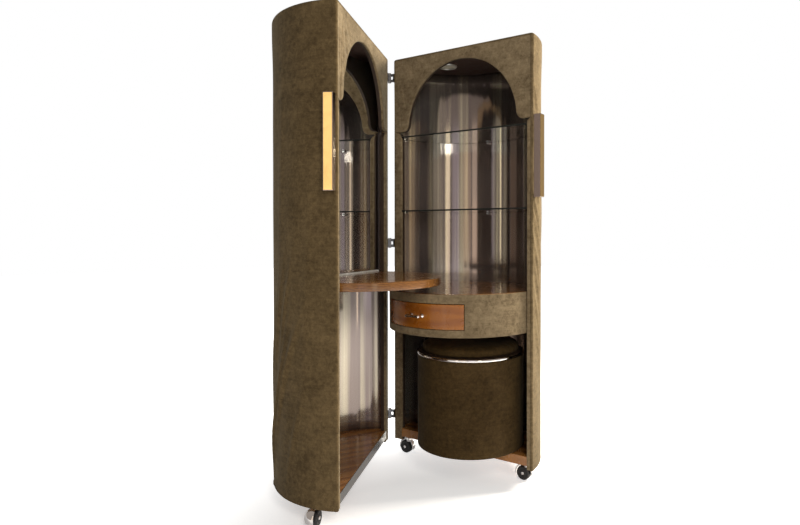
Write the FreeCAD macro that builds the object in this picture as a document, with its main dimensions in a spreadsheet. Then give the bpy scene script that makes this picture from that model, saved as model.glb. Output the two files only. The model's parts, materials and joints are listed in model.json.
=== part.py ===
import FreeCAD, Part
import Sketcher
import os

# A dressing cabinet in two half-cylinders, hinged at the back and opened in a V.
# Lengths are in millimetres. While a half is built, X runs along its opening plane from the
# hinge line outwards, Y runs into the half and Z runs up from the rim of its shell.

doc = FreeCAD.newDocument("DressingCabinet")
sizes = doc.addObject("Spreadsheet::Sheet", "Sizes")
places = doc.addObject("Spreadsheet::Sheet", "Places")

DRIVING = {
    # whole cabinet
    "half_width": 664, "shell_height": 1620, "ride_height": 65, "hinge_standoff": 20,
    "opening_angle": 63.5, "closing_gap": 1, "fit_gap": 0.3, "overrun": 40,
    # shell of each half
    "cover_thickness": 6, "wall_thickness": 12, "lining_thickness": 1.2,
    "top_board_thickness": 22, "bottom_board_thickness": 35, "bottom_board_lift": 15,
    "board_setback": 2, "hinge_stile_width": 43, "outer_stile_width": 27, "stile_depth": 17,
    "arch_side": 39, "arch_headroom": 16, "arch_foot_drop": 8, "arch_panel_thickness": 16,
    "arch_shift": 5, "arch_foot_rounding": 30, "stile_gap": 1, "hinge_stile_rounding": 38,
    "outer_stile_rounding": 20,
    # glass shelves and ceiling light
    "glass_thickness": 6, "glass_gap": 1, "upper_shelf_drop": 26, "shelf_spacing": 312,
    "shelf_setback": 3, "stud_radius": 4, "stud_length": 14,
    "light_radius": 40, "lens_radius": 32, "light_depth": 7, "lens_depth": 5,
    "light_across": 200, "light_back": 120,
    # desk with its bowed apron
    "desk_height": 665, "desk_thickness": 12, "bow_side_gap": 1, "bow_centre_back": 30,
    "apron_height": 142, "apron_wall": 12, "apron_cover": 6,
    "desk_side_gap": 1, "cleat_height": 22, "desk_cleat_width": 42, "desk_cleat_front": 30,
    # drawer in the apron
    "drawer_shift": 11, "drawer_side_room": 247, "drawer_room_below": 29,
    "drawer_room_above": 23, "drawer_gap": 1.5, "drawer_front_thickness": 18,
    "drawer_box_inset": 16, "drawer_box_drop": 11, "drawer_box_lift": 7,
    "drawer_back_room": 142.8, "drawer_wall": 9, "drawer_bottom": 5,
    "runner_width": 26, "runner_height": 10,
    "pull_span": 48, "pull_reach": 24, "pull_bar_radius": 6, "pull_post_radius": 5,
    "pull_overhang": 8, "pull_rise": 46,
    # stool on the floor board
    "stool_room": 101.8, "stool_shift": 41, "stool_back": 30, "stool_headroom": 45,
    "glide_height": 4, "glide_radius": 12, "glide_inset": 45, "stool_base_thickness": 15,
    "drum_wall": 12, "band_height": 11, "band_proud": 2, "seat_side_height": 30,
    "seat_crown": 15, "seat_inset": 8, "seat_shoulder_inset": 15, "seat_bulge_radius": 24,
    # round table and mirror in the other half
    "table_side_gap": 9, "table_shift": 2, "table_centre_back": 12, "table_rise": 57, "table_thickness": 29,
    "table_cleat_height": 15, "table_cleat_width": 32, "table_cleat_front": 120,
    "mirror_side_room": 46, "mirror_angle": 16, "mirror_across": 46, "mirror_back": 34,
    "mirror_glass": 5, "mirror_board": 7, "mirror_top_gap": 7,
    "trim_height": 6, "trim_depth": 4, "edge_strip_thickness": 2.5, "edge_strip_height": 33,
    # bar handles
    "handle_length": 306, "handle_drop": 299, "handle_width": 33, "handle_depth": 26,
    "handle_wall": 4, "handle_edge": 5, "inlay_border": 2, "inlay_thickness": 2,
    # hinges
    "hinge_height": 36, "knuckle_radius": 7, "pin_radius": 4, "pin_clearance": 0.06,
    "hinge_low": 87, "hinge_middle_shift": 14, "hinge_top_gap": 57, "leaf_width": 28,
    "leaf_thickness": 3.5, "leaf_seat": 4, "web_thickness": 3, "pin_head_height": 3,
    "leaf_inset": 2,
    # casters
    "plate_width": 34, "plate_thickness": 3, "stem_radius": 6, "boss_radius": 11, "swivel_gap": 0.3,
    "hood_radius": 36, "hood_wall": 4, "hood_skirt": 9, "wheel_radius": 27, "wheel_width": 25,
    "wheel_rounding": 6, "axle_radius": 3.5, "axle_clearance": 0.05, "axle_end": 2, "caster_trail": 16,
    "hood_open": 4, "boss_depth": 14, "stem_depth": 9, "caster_near": 55, "caster_far": 54,
    "caster_near_back": 42, "caster_side_back": 65, "caster_left_back": 87,
    "caster_back_inset": 61,
}

FORMULAS = {
    "face_start": "Sizes.hinge_standoff",
    "face_end": "Sizes.hinge_standoff + Sizes.half_width",
    "axis_x": "Sizes.hinge_standoff + Sizes.half_width / 2",
    "outer_radius": "Sizes.half_width / 2",
    "full_reach": "outer_radius + Sizes.overrun",
    "wall_radius": "outer_radius - Sizes.cover_thickness",
    "wall_bore": "wall_radius - Sizes.wall_thickness",
    "lining_bore": "wall_bore - Sizes.lining_thickness",
    "frame_front": "Sizes.closing_gap + Sizes.cover_thickness",
    "frame_back": "frame_front + Sizes.stile_depth",
    "opening_start": "face_start + Sizes.hinge_stile_width",
    "opening_end": "face_end - Sizes.outer_stile_width",
    "opening_width": "opening_end - opening_start",
    "opening_middle": "(opening_start + opening_end) / 2",
    "strip_back": "Sizes.closing_gap + Sizes.edge_strip_thickness",
    "floor_top": "Sizes.bottom_board_lift + Sizes.bottom_board_thickness",
    "roof": "Sizes.shell_height - Sizes.cover_thickness",
    "ceiling": "roof - Sizes.top_board_thickness",
    "arch_radius": "opening_width / 2 - Sizes.arch_side",
    "arch_spring_height": "ceiling - Sizes.arch_headroom - arch_radius",
    "arch_foot_height": "arch_spring_height - Sizes.arch_foot_drop",
    "foot_centre_rise": "Sizes.arch_foot_rounding - Sizes.arch_foot_drop",
    "foot_centre_reach": "sqrt((arch_radius + Sizes.arch_foot_rounding) ^ 2 - foot_centre_rise ^ 2)",
    "foot_touch_rise": "foot_centre_rise * arch_radius / (arch_radius + Sizes.arch_foot_rounding)",
    "stile_top": "arch_foot_height - Sizes.stile_gap",
    "upper_shelf_height": "arch_foot_height - Sizes.upper_shelf_drop",
    "lower_shelf_height": "upper_shelf_height - Sizes.shelf_spacing",
    "arch_middle": "opening_middle - Sizes.arch_shift",
    "glass_radius": "lining_bore - Sizes.glass_gap",
    "desk_underside": "Sizes.desk_height - Sizes.desk_thickness",
    "apron_bottom": "desk_underside - Sizes.apron_height",
    "bow_radius": "opening_width / 2 - Sizes.bow_side_gap",
    "apron_radius": "bow_radius - Sizes.apron_cover",
    "apron_bore": "apron_radius - Sizes.apron_wall",
    "drawer_x": "opening_middle - Sizes.drawer_shift",
    "drawer_front_width": "opening_width - Sizes.drawer_side_room",
    "drawer_front_height": "Sizes.apron_height - Sizes.drawer_room_below - Sizes.drawer_room_above",
    "drawer_front_bottom": "apron_bottom + Sizes.drawer_room_below",
    "drawer_start": "drawer_x - drawer_front_width / 2",
    "drawer_box_width": "drawer_front_width - 2 * Sizes.drawer_box_inset",
    "drawer_box_height": "drawer_front_height - Sizes.drawer_box_lift - Sizes.drawer_box_drop",
    "drawer_box_back": "lining_bore - Sizes.drawer_back_room",
    "tray_start": "drawer_x - drawer_box_width / 2",
    "drawer_back_radius": "bow_radius - Sizes.drawer_front_thickness",
    "box_bottom": "drawer_front_bottom + Sizes.drawer_box_lift",
    "runner_bottom": "box_bottom - Sizes.fit_gap - Sizes.runner_height",
    "pull_height": "drawer_front_bottom + Sizes.pull_rise",
    "pull_front": "Sizes.bow_centre_back - bow_radius - Sizes.pull_reach",
    "stool_x": "axis_x + Sizes.stool_shift",
    "stool_radius": "lining_bore - Sizes.stool_room",
    "glide_circle": "stool_radius - Sizes.glide_inset",
    "glide_bottom": "floor_top + Sizes.fit_gap",
    "stool_base_bottom": "glide_bottom + Sizes.glide_height",
    "drum_bottom": "stool_base_bottom + Sizes.stool_base_thickness",
    "drum_radius": "stool_radius - Sizes.cover_thickness",
    "seat_top": "apron_bottom - Sizes.stool_headroom",
    "seat_shoulder": "seat_top - Sizes.seat_crown",
    "seat_bottom": "seat_shoulder - Sizes.seat_side_height",
    "drum_top": "seat_bottom - Sizes.band_height",
    "drum_height": "drum_top - drum_bottom",
    "seat_foot_radius": "stool_radius - Sizes.seat_inset",
    "seat_shoulder_radius": "stool_radius - Sizes.seat_shoulder_inset",
    "crown_radius": "(seat_shoulder_radius ^ 2 + Sizes.seat_crown ^ 2) / Sizes.seat_crown / 2",
    "table_radius": "opening_width / 2 - Sizes.table_side_gap",
    "table_x": "opening_middle - Sizes.table_shift",
    "table_height": "Sizes.desk_height + Sizes.table_rise",
    "table_underside": "table_height - Sizes.table_thickness",
    "mirror_x": "face_start + Sizes.mirror_across",
    "mirror_width": "opening_width - Sizes.mirror_side_room",
    "mirror_height": "ceiling - Sizes.mirror_top_gap - table_height",
    "handle_face": "face_end + Sizes.handle_depth",
    "handle_bottom": "Sizes.shell_height - Sizes.handle_drop - Sizes.handle_length",
    "hinge_low": "Sizes.hinge_low",
    "hinge_high": "Sizes.shell_height - Sizes.hinge_top_gap - Sizes.hinge_height",
    "hinge_middle": "(hinge_low + hinge_high) / 2 + Sizes.hinge_middle_shift",
    "caster_middle_back": "wall_radius - Sizes.caster_back_inset",
    "knuckle_height": "Sizes.hinge_height / 3",
    "plate_bottom": "Sizes.bottom_board_lift - Sizes.plate_thickness",
    "boss_top": "plate_bottom - Sizes.swivel_gap",
    "wheel_height": "Sizes.wheel_radius - Sizes.ride_height",
    "wheel_shoulder": "Sizes.wheel_radius - Sizes.wheel_rounding",
    "wheel_bore": "Sizes.axle_radius + Sizes.axle_clearance",
    "tread_end": "Sizes.wheel_width - Sizes.wheel_rounding",
    "dome_bore": "Sizes.hood_radius - Sizes.hood_wall",
    "axle_length": "dome_bore + Sizes.hood_wall / 2 + Sizes.wheel_width / 2 + Sizes.axle_end",
}

ORIGIN_CELLS = {"origin_across": "0", "origin_back": "0"}


def fill(sheet, entries):
    """Writes one alias per row: the name in column A and its value or formula in column B."""
    for row, (alias, value) in enumerate(entries.items(), 1):
        sheet.set(f"A{row}", alias)
        sheet.set(f"B{row}", value)
        sheet.setAlias(f"B{row}", alias)


fill(sizes, {alias: str(value) for alias, value in DRIVING.items()} | ORIGIN_CELLS)
doc.recompute()
fill(places, {alias: "=" + formula for alias, formula in FORMULAS.items()})
doc.recompute()

ALONG_Y = FreeCAD.Rotation(FreeCAD.Vector(1, 0, 0), -90)
ALONG_X = FreeCAD.Rotation(FreeCAD.Vector(0, 1, 0), 90)
UPRIGHT = FreeCAD.Rotation()


def about_z(angle):
    """A turn about the vertical."""
    return FreeCAD.Rotation(FreeCAD.Vector(0, 0, 1), angle)


def put(thing, x="0", y="0", z="0", turn=UPRIGHT):
    """Places a piece: the turn is fixed, and each coordinate follows its expression."""
    thing.Placement = FreeCAD.Placement(FreeCAD.Vector(), turn)
    for axis, expression in zip("xyz", (x, y, z)):
        thing.setExpression(".Placement.Base." + axis, expression)
    return thing


def box(name, length, width, height, x, y, z, turn=UPRIGHT):
    """A block that runs from its low corner."""
    block = doc.addObject("Part::Box", name)
    block.setExpression("Length", length)
    block.setExpression("Width", width)
    block.setExpression("Height", height)
    return put(block, x, y, z, turn)


def cylinder(name, radius, height, x, y, z, turn=UPRIGHT):
    """A round bar from its base centre."""
    bar = doc.addObject("Part::Cylinder", name)
    bar.setExpression("Radius", radius)
    bar.setExpression("Height", height)
    return put(bar, x, y, z, turn)


def sphere(name, radius, x, y, z):
    """A ball about its centre."""
    ball = doc.addObject("Part::Sphere", name)
    ball.setExpression("Radius", radius)
    return put(ball, x, y, z)


def cut(name, base, *tools):
    """The base with each tool taken away in turn."""
    for step, tool in enumerate(tools):
        result = doc.addObject("Part::Cut", f"{name}_{step}")
        result.Base = base
        result.Tool = tool
        base = result
    return base


def common(name, *shapes):
    """What all the shapes share."""
    result = doc.addObject("Part::MultiCommon", name)
    result.Shapes = list(shapes)
    return result


def fuse(name, *shapes):
    """The shapes as one solid."""
    result = doc.addObject("Part::MultiFuse", name)
    result.Shapes = list(shapes)
    return result


def ring(name, radius, bore, height, x, y, z):
    """A round wall between two radii."""
    outside = cylinder(name + "_outside", radius, height, x, y, z)
    inside = cylinder(name + "_inside", bore, height, x, y, z)
    return cut(name, outside, inside)


def behind(name, front, height, z):
    """A block that holds all of a half that lies behind the given front."""
    return box(name, "2 * Places.full_reach", "Places.full_reach", height,
               "Places.axis_x - Places.full_reach", front, z)


def half_ring(name, radius, bore, height, z, front):
    """A half-round wall about the cabinet's axis, cut flat at the front."""
    whole = ring(name + "_ring", radius, bore, height, "Places.axis_x", "0", z)
    return common(name, whole, behind(name + "_keep", front, height, z))


def half_disc(name, radius, height, z, front):
    """A half-round board about the cabinet's axis, cut flat at the front."""
    whole = cylinder(name + "_disc", radius, height, "Places.axis_x", "0", z)
    return common(name, whole, behind(name + "_keep", front, height, z))


def within(name, piece, radius):
    """The piece trimmed to a round of that radius about the cabinet's axis."""
    return common(name + "_trimmed", piece, cylinder(
        name + "_trim", radius, "Sizes.shell_height", "Places.axis_x", "0", "0"))


nodes = []


def node(label, half, *pieces):
    """One named sub-part: in the left half a mirror image, swung open about the hinge."""
    turn = UPRIGHT
    if half == "left":
        turn = about_z(-sizes.opening_angle)
        pieces = [mirrored(piece) for piece in pieces]
    part = doc.addObject("Part::Compound", "node_" + label)
    part.Label = label
    part.Links = list(pieces)
    put(part, "-Sizes.origin_across", "-Sizes.origin_back", "Sizes.ride_height", turn)
    nodes.append(part)
    return part


def mirrored(piece):
    """The piece's image on the other side of the closing plane."""
    image = doc.addObject("Part::Mirroring", "image_" + piece.Name)
    image.Source = piece
    image.Normal = FreeCAD.Vector(0, 1, 0)
    return image


def shell(side):
    """Wall, boards, stiles, arch, suede covers and metal lining of one half."""
    n = side + "_"
    node(n + "shell_wall", side, half_ring(
        n + "wall", "Places.wall_radius", "Places.wall_bore", "Places.ceiling", "0",
        "Places.frame_front"))
    node(n + "top_board", side, half_disc(
        n + "top", "Places.wall_radius", "Sizes.top_board_thickness", "Places.ceiling",
        "Places.frame_front"))
    node(n + "lining", side, half_ring(
        n + "lining_sheet", "Places.wall_bore", "Places.lining_bore",
        "Places.ceiling - Places.floor_top", "Places.floor_top", "Places.frame_back"))
    front = "Sizes.board_setback" if side == "right" else "Places.strip_back"
    board = half_disc(n + "floor", "Places.wall_bore", "Sizes.bottom_board_thickness",
                      "Sizes.bottom_board_lift", front)
    node(n + "bottom_board", side, stile_notches(
        n + "floor", board, "Sizes.bottom_board_thickness", "Sizes.bottom_board_lift", "0"))
    node(n + "stiles", side, *uprights(
        n + "stile", "Sizes.stile_depth", "Places.frame_front", "Places.wall_bore"))
    node(n + "arch_panel", side, arch(
        n + "arch", "Sizes.arch_panel_thickness", "Places.frame_front", "Places.ceiling",
        "Places.wall_bore"))
    node(n + "outer_cover", side, outer_cover(n))
    pads = uprights(n + "pad", "Sizes.cover_thickness", "Sizes.closing_gap",
                    "Places.wall_radius")
    crown = arch(n + "arch_pad", "Sizes.cover_thickness", "Sizes.closing_gap",
                 "Places.roof", "Places.wall_radius")
    node(n + "face_covers", side, crown, *pads)


def uprights(name, depth, front, radius):
    """The two straight uprights beside the opening, rounded at the top, up to a gap below
    the foot of the arch."""
    spans = {"hinge": ("Places.face_start", "Places.opening_start", "-"),
             "outer": ("Places.opening_end", "Places.face_end", "+")}
    pieces = []
    for where, (start, end, sign) in spans.items():
        bar = box(f"{name}_{where}", f"{end} - {start}", depth, "Places.stile_top",
                  start, front, "0")
        rounding = f"Sizes.{where}_stile_rounding"
        edge = end if sign == "-" else start
        corner = box(f"{name}_{where}_corner", f"{rounding} + Sizes.overrun",
                     f"{depth} + Sizes.overrun", f"{rounding} + Sizes.overrun",
                     f"{edge} - {rounding}" if sign == "-" else f"{edge} - Sizes.overrun",
                     f"{front} - Sizes.overrun / 2", f"Places.stile_top - {rounding}")
        round_end = cylinder(f"{name}_{where}_round", rounding, f"{depth} + Sizes.overrun * 2",
                             f"{edge} {sign} {rounding}", f"{front} - Sizes.overrun",
                             f"Places.stile_top - {rounding}", ALONG_Y)
        bar = cut(f"{name}_{where}_bar", bar, cut(f"{name}_{where}_tip", corner, round_end))
        pieces.append(within(f"{name}_{where}", bar, radius))
    return pieces


def stile_notches(name, board, height, z, gap):
    """Takes the two front corners out of a board, so that it clears the stiles."""
    deep = f"Places.frame_back + {gap} + Sizes.overrun"
    hinge_side = box(name + "_notch_a", "Sizes.overrun * 2", deep, height,
                     f"Places.opening_start + {gap} - Sizes.overrun * 2", "-Sizes.overrun", z)
    outer_side = box(name + "_notch_b", "Sizes.overrun * 2", deep, height,
                     f"Places.opening_end - {gap}", "-Sizes.overrun", z)
    return cut(name + "_notched", board, hinge_side, outer_side)


def arch(name, thickness, front, top, radius):
    """A flat panel over the opening, with a round arch and its short straight foot cut out."""
    panel = box(name + "_blank", "Sizes.half_width", thickness,
                f"{top} - Places.arch_foot_height", "Places.face_start", front,
                "Places.arch_foot_height")
    hole = cylinder(name + "_hole", "Places.arch_radius", f"{thickness} + Sizes.overrun * 2",
                    "Places.arch_middle", f"{front} - Sizes.overrun",
                    "Places.arch_spring_height", ALONG_Y)
    throat = box(name + "_throat", "Places.arch_radius * 2", f"{thickness} + Sizes.overrun * 2",
                 "Places.arch_spring_height - Places.arch_foot_height + Sizes.overrun",
                 "Places.arch_middle - Places.arch_radius", f"{front} - Sizes.overrun",
                 "Places.arch_foot_height - Sizes.overrun")
    feet = [rounded_foot(f"{name}_{where}", thickness, front, sign)
            for where, sign in (("hinge", "-"), ("outer", "+"))]
    return within(name, cut(name, panel, hole, throat, *feet), radius)


def rounded_foot(name, thickness, front, sign):
    """What the rounding between the arch and its foot takes away: a corner less a round
    that touches both."""
    starts = {"-": "Places.arch_middle - Places.foot_centre_reach",
              "+": "Places.arch_middle + Places.arch_radius - Sizes.fit_gap"}
    corner = box(name + "_corner",
                 "Places.foot_centre_reach - Places.arch_radius + Sizes.fit_gap",
                 f"{thickness} + Sizes.overrun",
                 "Places.foot_touch_rise + Sizes.arch_foot_drop + Sizes.overrun", starts[sign],
                 f"{front} - Sizes.overrun / 2", "Places.arch_foot_height - Sizes.overrun")
    return cut(name + "_foot", corner, cylinder(
        name + "_round", "Sizes.arch_foot_rounding", f"{thickness} + Sizes.overrun * 2",
        f"Places.arch_middle {sign} Places.foot_centre_reach", f"{front} - Sizes.overrun",
        "Places.arch_spring_height + Places.foot_centre_rise", ALONG_Y))


def outer_cover(n):
    """The suede round the wall, with its cap over the top board, as one skin."""
    skin = half_disc(n + "skin", "Places.outer_radius", "Sizes.shell_height", "0",
                     "Sizes.closing_gap")
    core = cylinder(n + "skin_core", "Places.wall_radius", "Places.roof + Sizes.overrun",
                    "Places.axis_x", "0", "-Sizes.overrun")
    return cut(n + "cover", skin, core)


def right_fittings():
    """Glass shelves on studs, and the lamp in the ceiling."""
    for level in ("upper", "lower"):
        low = f"Places.{level}_shelf_height"
        disc = half_disc(level + "_glass", "Places.glass_radius", "Sizes.glass_thickness", low,
                         "Sizes.shelf_setback")
        node(level + "_glass_shelf", "right", stile_notches(
            level + "_glass", disc, "Sizes.glass_thickness", low, "Sizes.glass_gap"))
    node("shelf_studs", "right", *shelf_studs())
    light = ("Places.face_start + Sizes.light_across", "Sizes.light_back")
    node("ceiling_light_ring", "right", ring(
        "light_ring", "Sizes.light_radius", "Sizes.lens_radius", "Sizes.light_depth", *light,
        "Places.ceiling - Sizes.light_depth"))
    node("ceiling_light_lens", "right", cylinder(
        "light_lens", "Sizes.lens_radius", "Sizes.lens_depth", *light,
        "Places.ceiling - Sizes.lens_depth"))


STUD_ANGLES = (10.5, 97, 169.5)


def shelf_studs():
    """Round studs in the lining, just under each glass shelf."""
    studs = []
    for level in ("upper", "lower"):
        for place, angle in enumerate(STUD_ANGLES):
            name = f"{level}_stud_{place}"
            start = "(Places.lining_bore - Sizes.stud_length)"
            stud = cylinder(name, "Sizes.stud_radius", "Sizes.stud_length + Sizes.overrun",
                            f"Places.axis_x + {start} * cos({angle})", f"{start} * sin({angle})",
                            f"Places.{level}_shelf_height - Sizes.stud_radius",
                            about_z(angle) * ALONG_X)
            studs.append(within(name, stud, "Places.lining_bore"))
    return studs


def bowed(name, radius, height, z):
    """A round bar about the centre of the desk's bow."""
    return cylinder(name, radius, height, "Places.opening_middle", "Sizes.bow_centre_back", z)


def bow_room(name, radius, height, z):
    """The desk's bow, and all of the half that lies behind the bow's centre."""
    return fuse(name + "_room", bowed(name + "_bow", radius, height, z),
                behind(name + "_rear", "Sizes.bow_centre_back", height, z))


def between_stiles(name, back, height, z):
    """A block as wide as the opening less a gap each side, as far back as given."""
    return box(name, "Places.opening_width - 2 * Sizes.desk_side_gap",
               f"Places.full_reach + {back}", height,
               "Places.opening_start + Sizes.desk_side_gap", "-Places.full_reach", z)


def desk():
    """Desk top, its bowed apron and its supports."""
    low = "Places.desk_underside"
    node("desk_top", "right", common(
        "desk_board", bow_room("desk", "Places.apron_radius", "Sizes.desk_thickness", low),
        cylinder("desk_back", "Places.lining_bore", "Sizes.desk_thickness", "Places.axis_x",
                 "0", low),
        between_stiles("desk_width", "Places.full_reach", "Sizes.desk_thickness", low)))
    gap = "Sizes.drawer_gap"
    window = box("drawer_window", f"Places.drawer_front_width + 2 * {gap}", "Places.full_reach",
                 f"Places.drawer_front_height + 2 * {gap}", f"Places.drawer_start - {gap}",
                 "-Places.full_reach", f"Places.drawer_front_bottom - {gap}")
    node("apron_frame", "right", apron("frame", "Places.apron_radius", "Places.apron_bore",
                                       "Sizes.apron_height", window))
    node("apron_cover", "right", apron("suede", "Places.bow_radius", "Places.apron_radius",
                                       "Sizes.apron_height + Sizes.desk_thickness", window))
    cleat = half_ring("desk_cleat", "Places.lining_bore",
                      "Places.lining_bore - Sizes.desk_cleat_width", "Sizes.cleat_height",
                      f"{low} - Sizes.cleat_height", "Sizes.desk_cleat_front")
    node("desk_supports", "right", cleat, *drawer_runners())


def apron(name, radius, bore, height, window):
    """One layer of the bowed apron, from the cleat forwards, with the drawer's window."""
    wall = ring("apron_" + name, radius, bore, height, "Places.opening_middle",
                "Sizes.bow_centre_back", "Places.apron_bottom")
    front = between_stiles("apron_keep_" + name, "Sizes.desk_cleat_front", height,
                           "Places.apron_bottom")
    return cut("apron_open_" + name, common("apron_bow_" + name, wall, front), window)


def drawer_runners():
    """Two wooden rails that reach from the lining to the back of the apron."""
    runners = []
    low = "Places.runner_bottom"
    starts = {"hinge": "Places.tray_start",
              "outer": "Places.tray_start + Places.drawer_box_width - Sizes.runner_width"}
    for where, start in starts.items():
        rail = box(where + "_rail", "Sizes.runner_width", "2 * Places.full_reach",
                   "Sizes.runner_height", start, "-Places.full_reach", low)
        runners.append(common(
            where + "_runner", rail,
            bow_room(where + "_rail", "Places.apron_bore - Sizes.fit_gap",
                     "Sizes.runner_height", low),
            cylinder(where + "_rail_back", "Places.lining_bore", "Sizes.runner_height",
                     "Places.axis_x", "0", low)))
    return runners


def drawer():
    """The drawer: an open box with a bowed front wall, its wooden front and its pull."""
    node("drawer_box", "right", cut(
        "tray", tray("tray_outside", "0", "0", "0"),
        tray("tray_inside", "Sizes.drawer_wall", "Sizes.drawer_bottom", "Sizes.overrun")))
    curved = ring("front_bow", "Places.bow_radius", "Places.drawer_back_radius",
                  "Places.drawer_front_height", "Places.opening_middle",
                  "Sizes.bow_centre_back", "Places.drawer_front_bottom")
    node("drawer_front", "right", common("front_panel", curved, box(
        "front_width", "Places.drawer_front_width", "Places.full_reach",
        "Places.drawer_front_height", "Places.drawer_start", "-Places.full_reach",
        "Places.drawer_front_bottom")))
    posts = [cylinder("pull_post_" + place, "Sizes.pull_post_radius",
                      "Sizes.pull_reach + Sizes.overrun",
                      f"Places.drawer_x {sign} Sizes.pull_span / 2", "Places.pull_front",
                      "Places.pull_height", ALONG_Y)
             for place, sign in (("hinge", "-"), ("outer", "+"))]
    bar = cylinder("pull_bar", "Sizes.pull_bar_radius",
                   "Sizes.pull_span + 2 * Sizes.pull_overhang",
                   "Places.drawer_x - Sizes.pull_span / 2 - Sizes.pull_overhang",
                   "Places.pull_front", "Places.pull_height", ALONG_X)
    seat = bowed("pull_seat", "Places.bow_radius", "Places.drawer_front_height",
                 "Places.drawer_front_bottom")
    node("drawer_pull", "right", cut("pull", fuse("pull_blank", bar, *posts), seat))


def tray(name, wall, floor, above):
    """The outside or the inside of the drawer box, smaller by one wall and one floor."""
    height = f"Places.drawer_box_height - {floor} + {above}"
    low = f"Places.box_bottom + {floor}"
    block = box(name + "_block", f"Places.drawer_box_width - 2 * {wall}",
                f"Places.full_reach + Places.drawer_box_back - {wall}", height,
                f"Places.tray_start + {wall}", "-Places.full_reach", low)
    bow = bowed(name + "_bow", f"Places.drawer_back_radius - {wall}", height, low)
    return common(name, block, bow)


GLIDE_ANGLES = (45, 135, 225, 315)


def stool():
    """The drum stool that stands on the floor board."""
    here = ("Places.stool_x", "Sizes.stool_back")
    glides = [cylinder(f"glide_{turn}", "Sizes.glide_radius", "Sizes.glide_height",
                       f"{here[0]} + Places.glide_circle * cos({turn})",
                       f"{here[1]} + Places.glide_circle * sin({turn})",
                       "Places.glide_bottom") for turn in GLIDE_ANGLES]
    node("stool_glides", "right", *glides)
    node("stool_base", "right", cylinder(
        "base_disc", "Places.drum_radius", "Sizes.stool_base_thickness", *here,
        "Places.stool_base_bottom"))
    node("stool_drum", "right", ring(
        "drum", "Places.drum_radius", "Places.drum_radius - Sizes.drum_wall",
        "Places.drum_height", *here, "Places.drum_bottom"))
    node("stool_drum_cover", "right", ring(
        "drum_suede", "Places.stool_radius", "Places.drum_radius",
        "Places.drum_height + Sizes.stool_base_thickness", *here, "Places.stool_base_bottom"))
    node("stool_seat_board", "right", cylinder(
        "seat_disc", "Places.drum_radius", "Sizes.band_height", *here, "Places.drum_top"))
    node("stool_band", "right", ring(
        "band", "Places.stool_radius + Sizes.band_proud", "Places.drum_radius",
        "Sizes.band_height", *here, "Places.drum_top"))
    outline = (("0", "Places.seat_bottom"), ("Places.seat_foot_radius", "Places.seat_bottom"),
               ("Places.seat_shoulder_radius", "Places.seat_shoulder"),
               ("0", "Places.seat_top"))
    cushion = turned("cushion", outline, {1: "Sizes.seat_bulge_radius",
                                          2: "Places.crown_radius"})
    node("stool_cushion", "right", put(cushion, *here, "0"))


def number(expression):
    """The value that a named size or place has now."""
    sheet, dot, alias = expression.partition(".")
    return getattr(doc.getObject(sheet), alias) if dot else 0


def turned(name, corners, arcs):
    """A body turned about Z: the corners are (radius, height), anticlockwise, and arcs gives
    the radius of each edge that bulges outwards."""
    body = doc.addObject("PartDesign::Body", name)
    sketch = body.newObject("Sketcher::SketchObject", name + "_outline")
    plane = [item for item in body.Origin.OriginFeatures if item.Role == "XZ_Plane"][0]
    sketch.AttachmentSupport = [(plane, "")]
    sketch.MapMode = "FlatFace"
    points = [FreeCAD.Vector(number(across), number(up), 0) for across, up in corners]
    ends = points[1:] + points[:1]
    for edge, (start, end) in enumerate(zip(points, ends)):
        line = Part.LineSegment(start, end)
        if edge in arcs:
            radius = number(arcs[edge])
            chord = end - start
            rise = radius - (radius ** 2 - chord.Length ** 2 / 4) ** (1 / 2)
            out = FreeCAD.Vector(chord.y, -chord.x, 0).normalize()
            line = Part.Arc(start, (start + end) * (1 / 2) + out * rise, end)
        sketch.addGeometry(line, False)
    for edge in range(len(points)):
        sketch.addConstraint(Sketcher.Constraint(
            "Coincident", edge, 2, (edge + 1) % len(points), 1))
    for edge, (across, up) in enumerate(corners):
        pin(sketch, edge, "DistanceX", across, -2)
        pin(sketch, edge, "DistanceY", up, -1)
    for edge, radius in arcs.items():
        bind(sketch, Sketcher.Constraint("Radius", edge, number(radius)), radius)
    doc.recompute()
    spin = body.newObject("PartDesign::Revolution", name + "_spin")
    spin.Profile = sketch
    spin.ReferenceAxis = (sketch, ["V_Axis"])
    spin.Angle = 360
    body.Tip = spin
    return body


def pin(sketch, edge, kind, expression, axis):
    """Holds the start of an edge on an axis, or at its named distance from the origin."""
    if expression == "0":
        sketch.addConstraint(Sketcher.Constraint("PointOnObject", edge, 1, axis))
    else:
        bind(sketch, Sketcher.Constraint(kind, -1, 1, edge, 1, number(expression)), expression)


def bind(sketch, constraint, expression):
    """Adds a constraint whose value follows the expression."""
    place = sketch.addConstraint(constraint)
    sketch.setExpression(f"Constraints[{place}]", expression)


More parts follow.
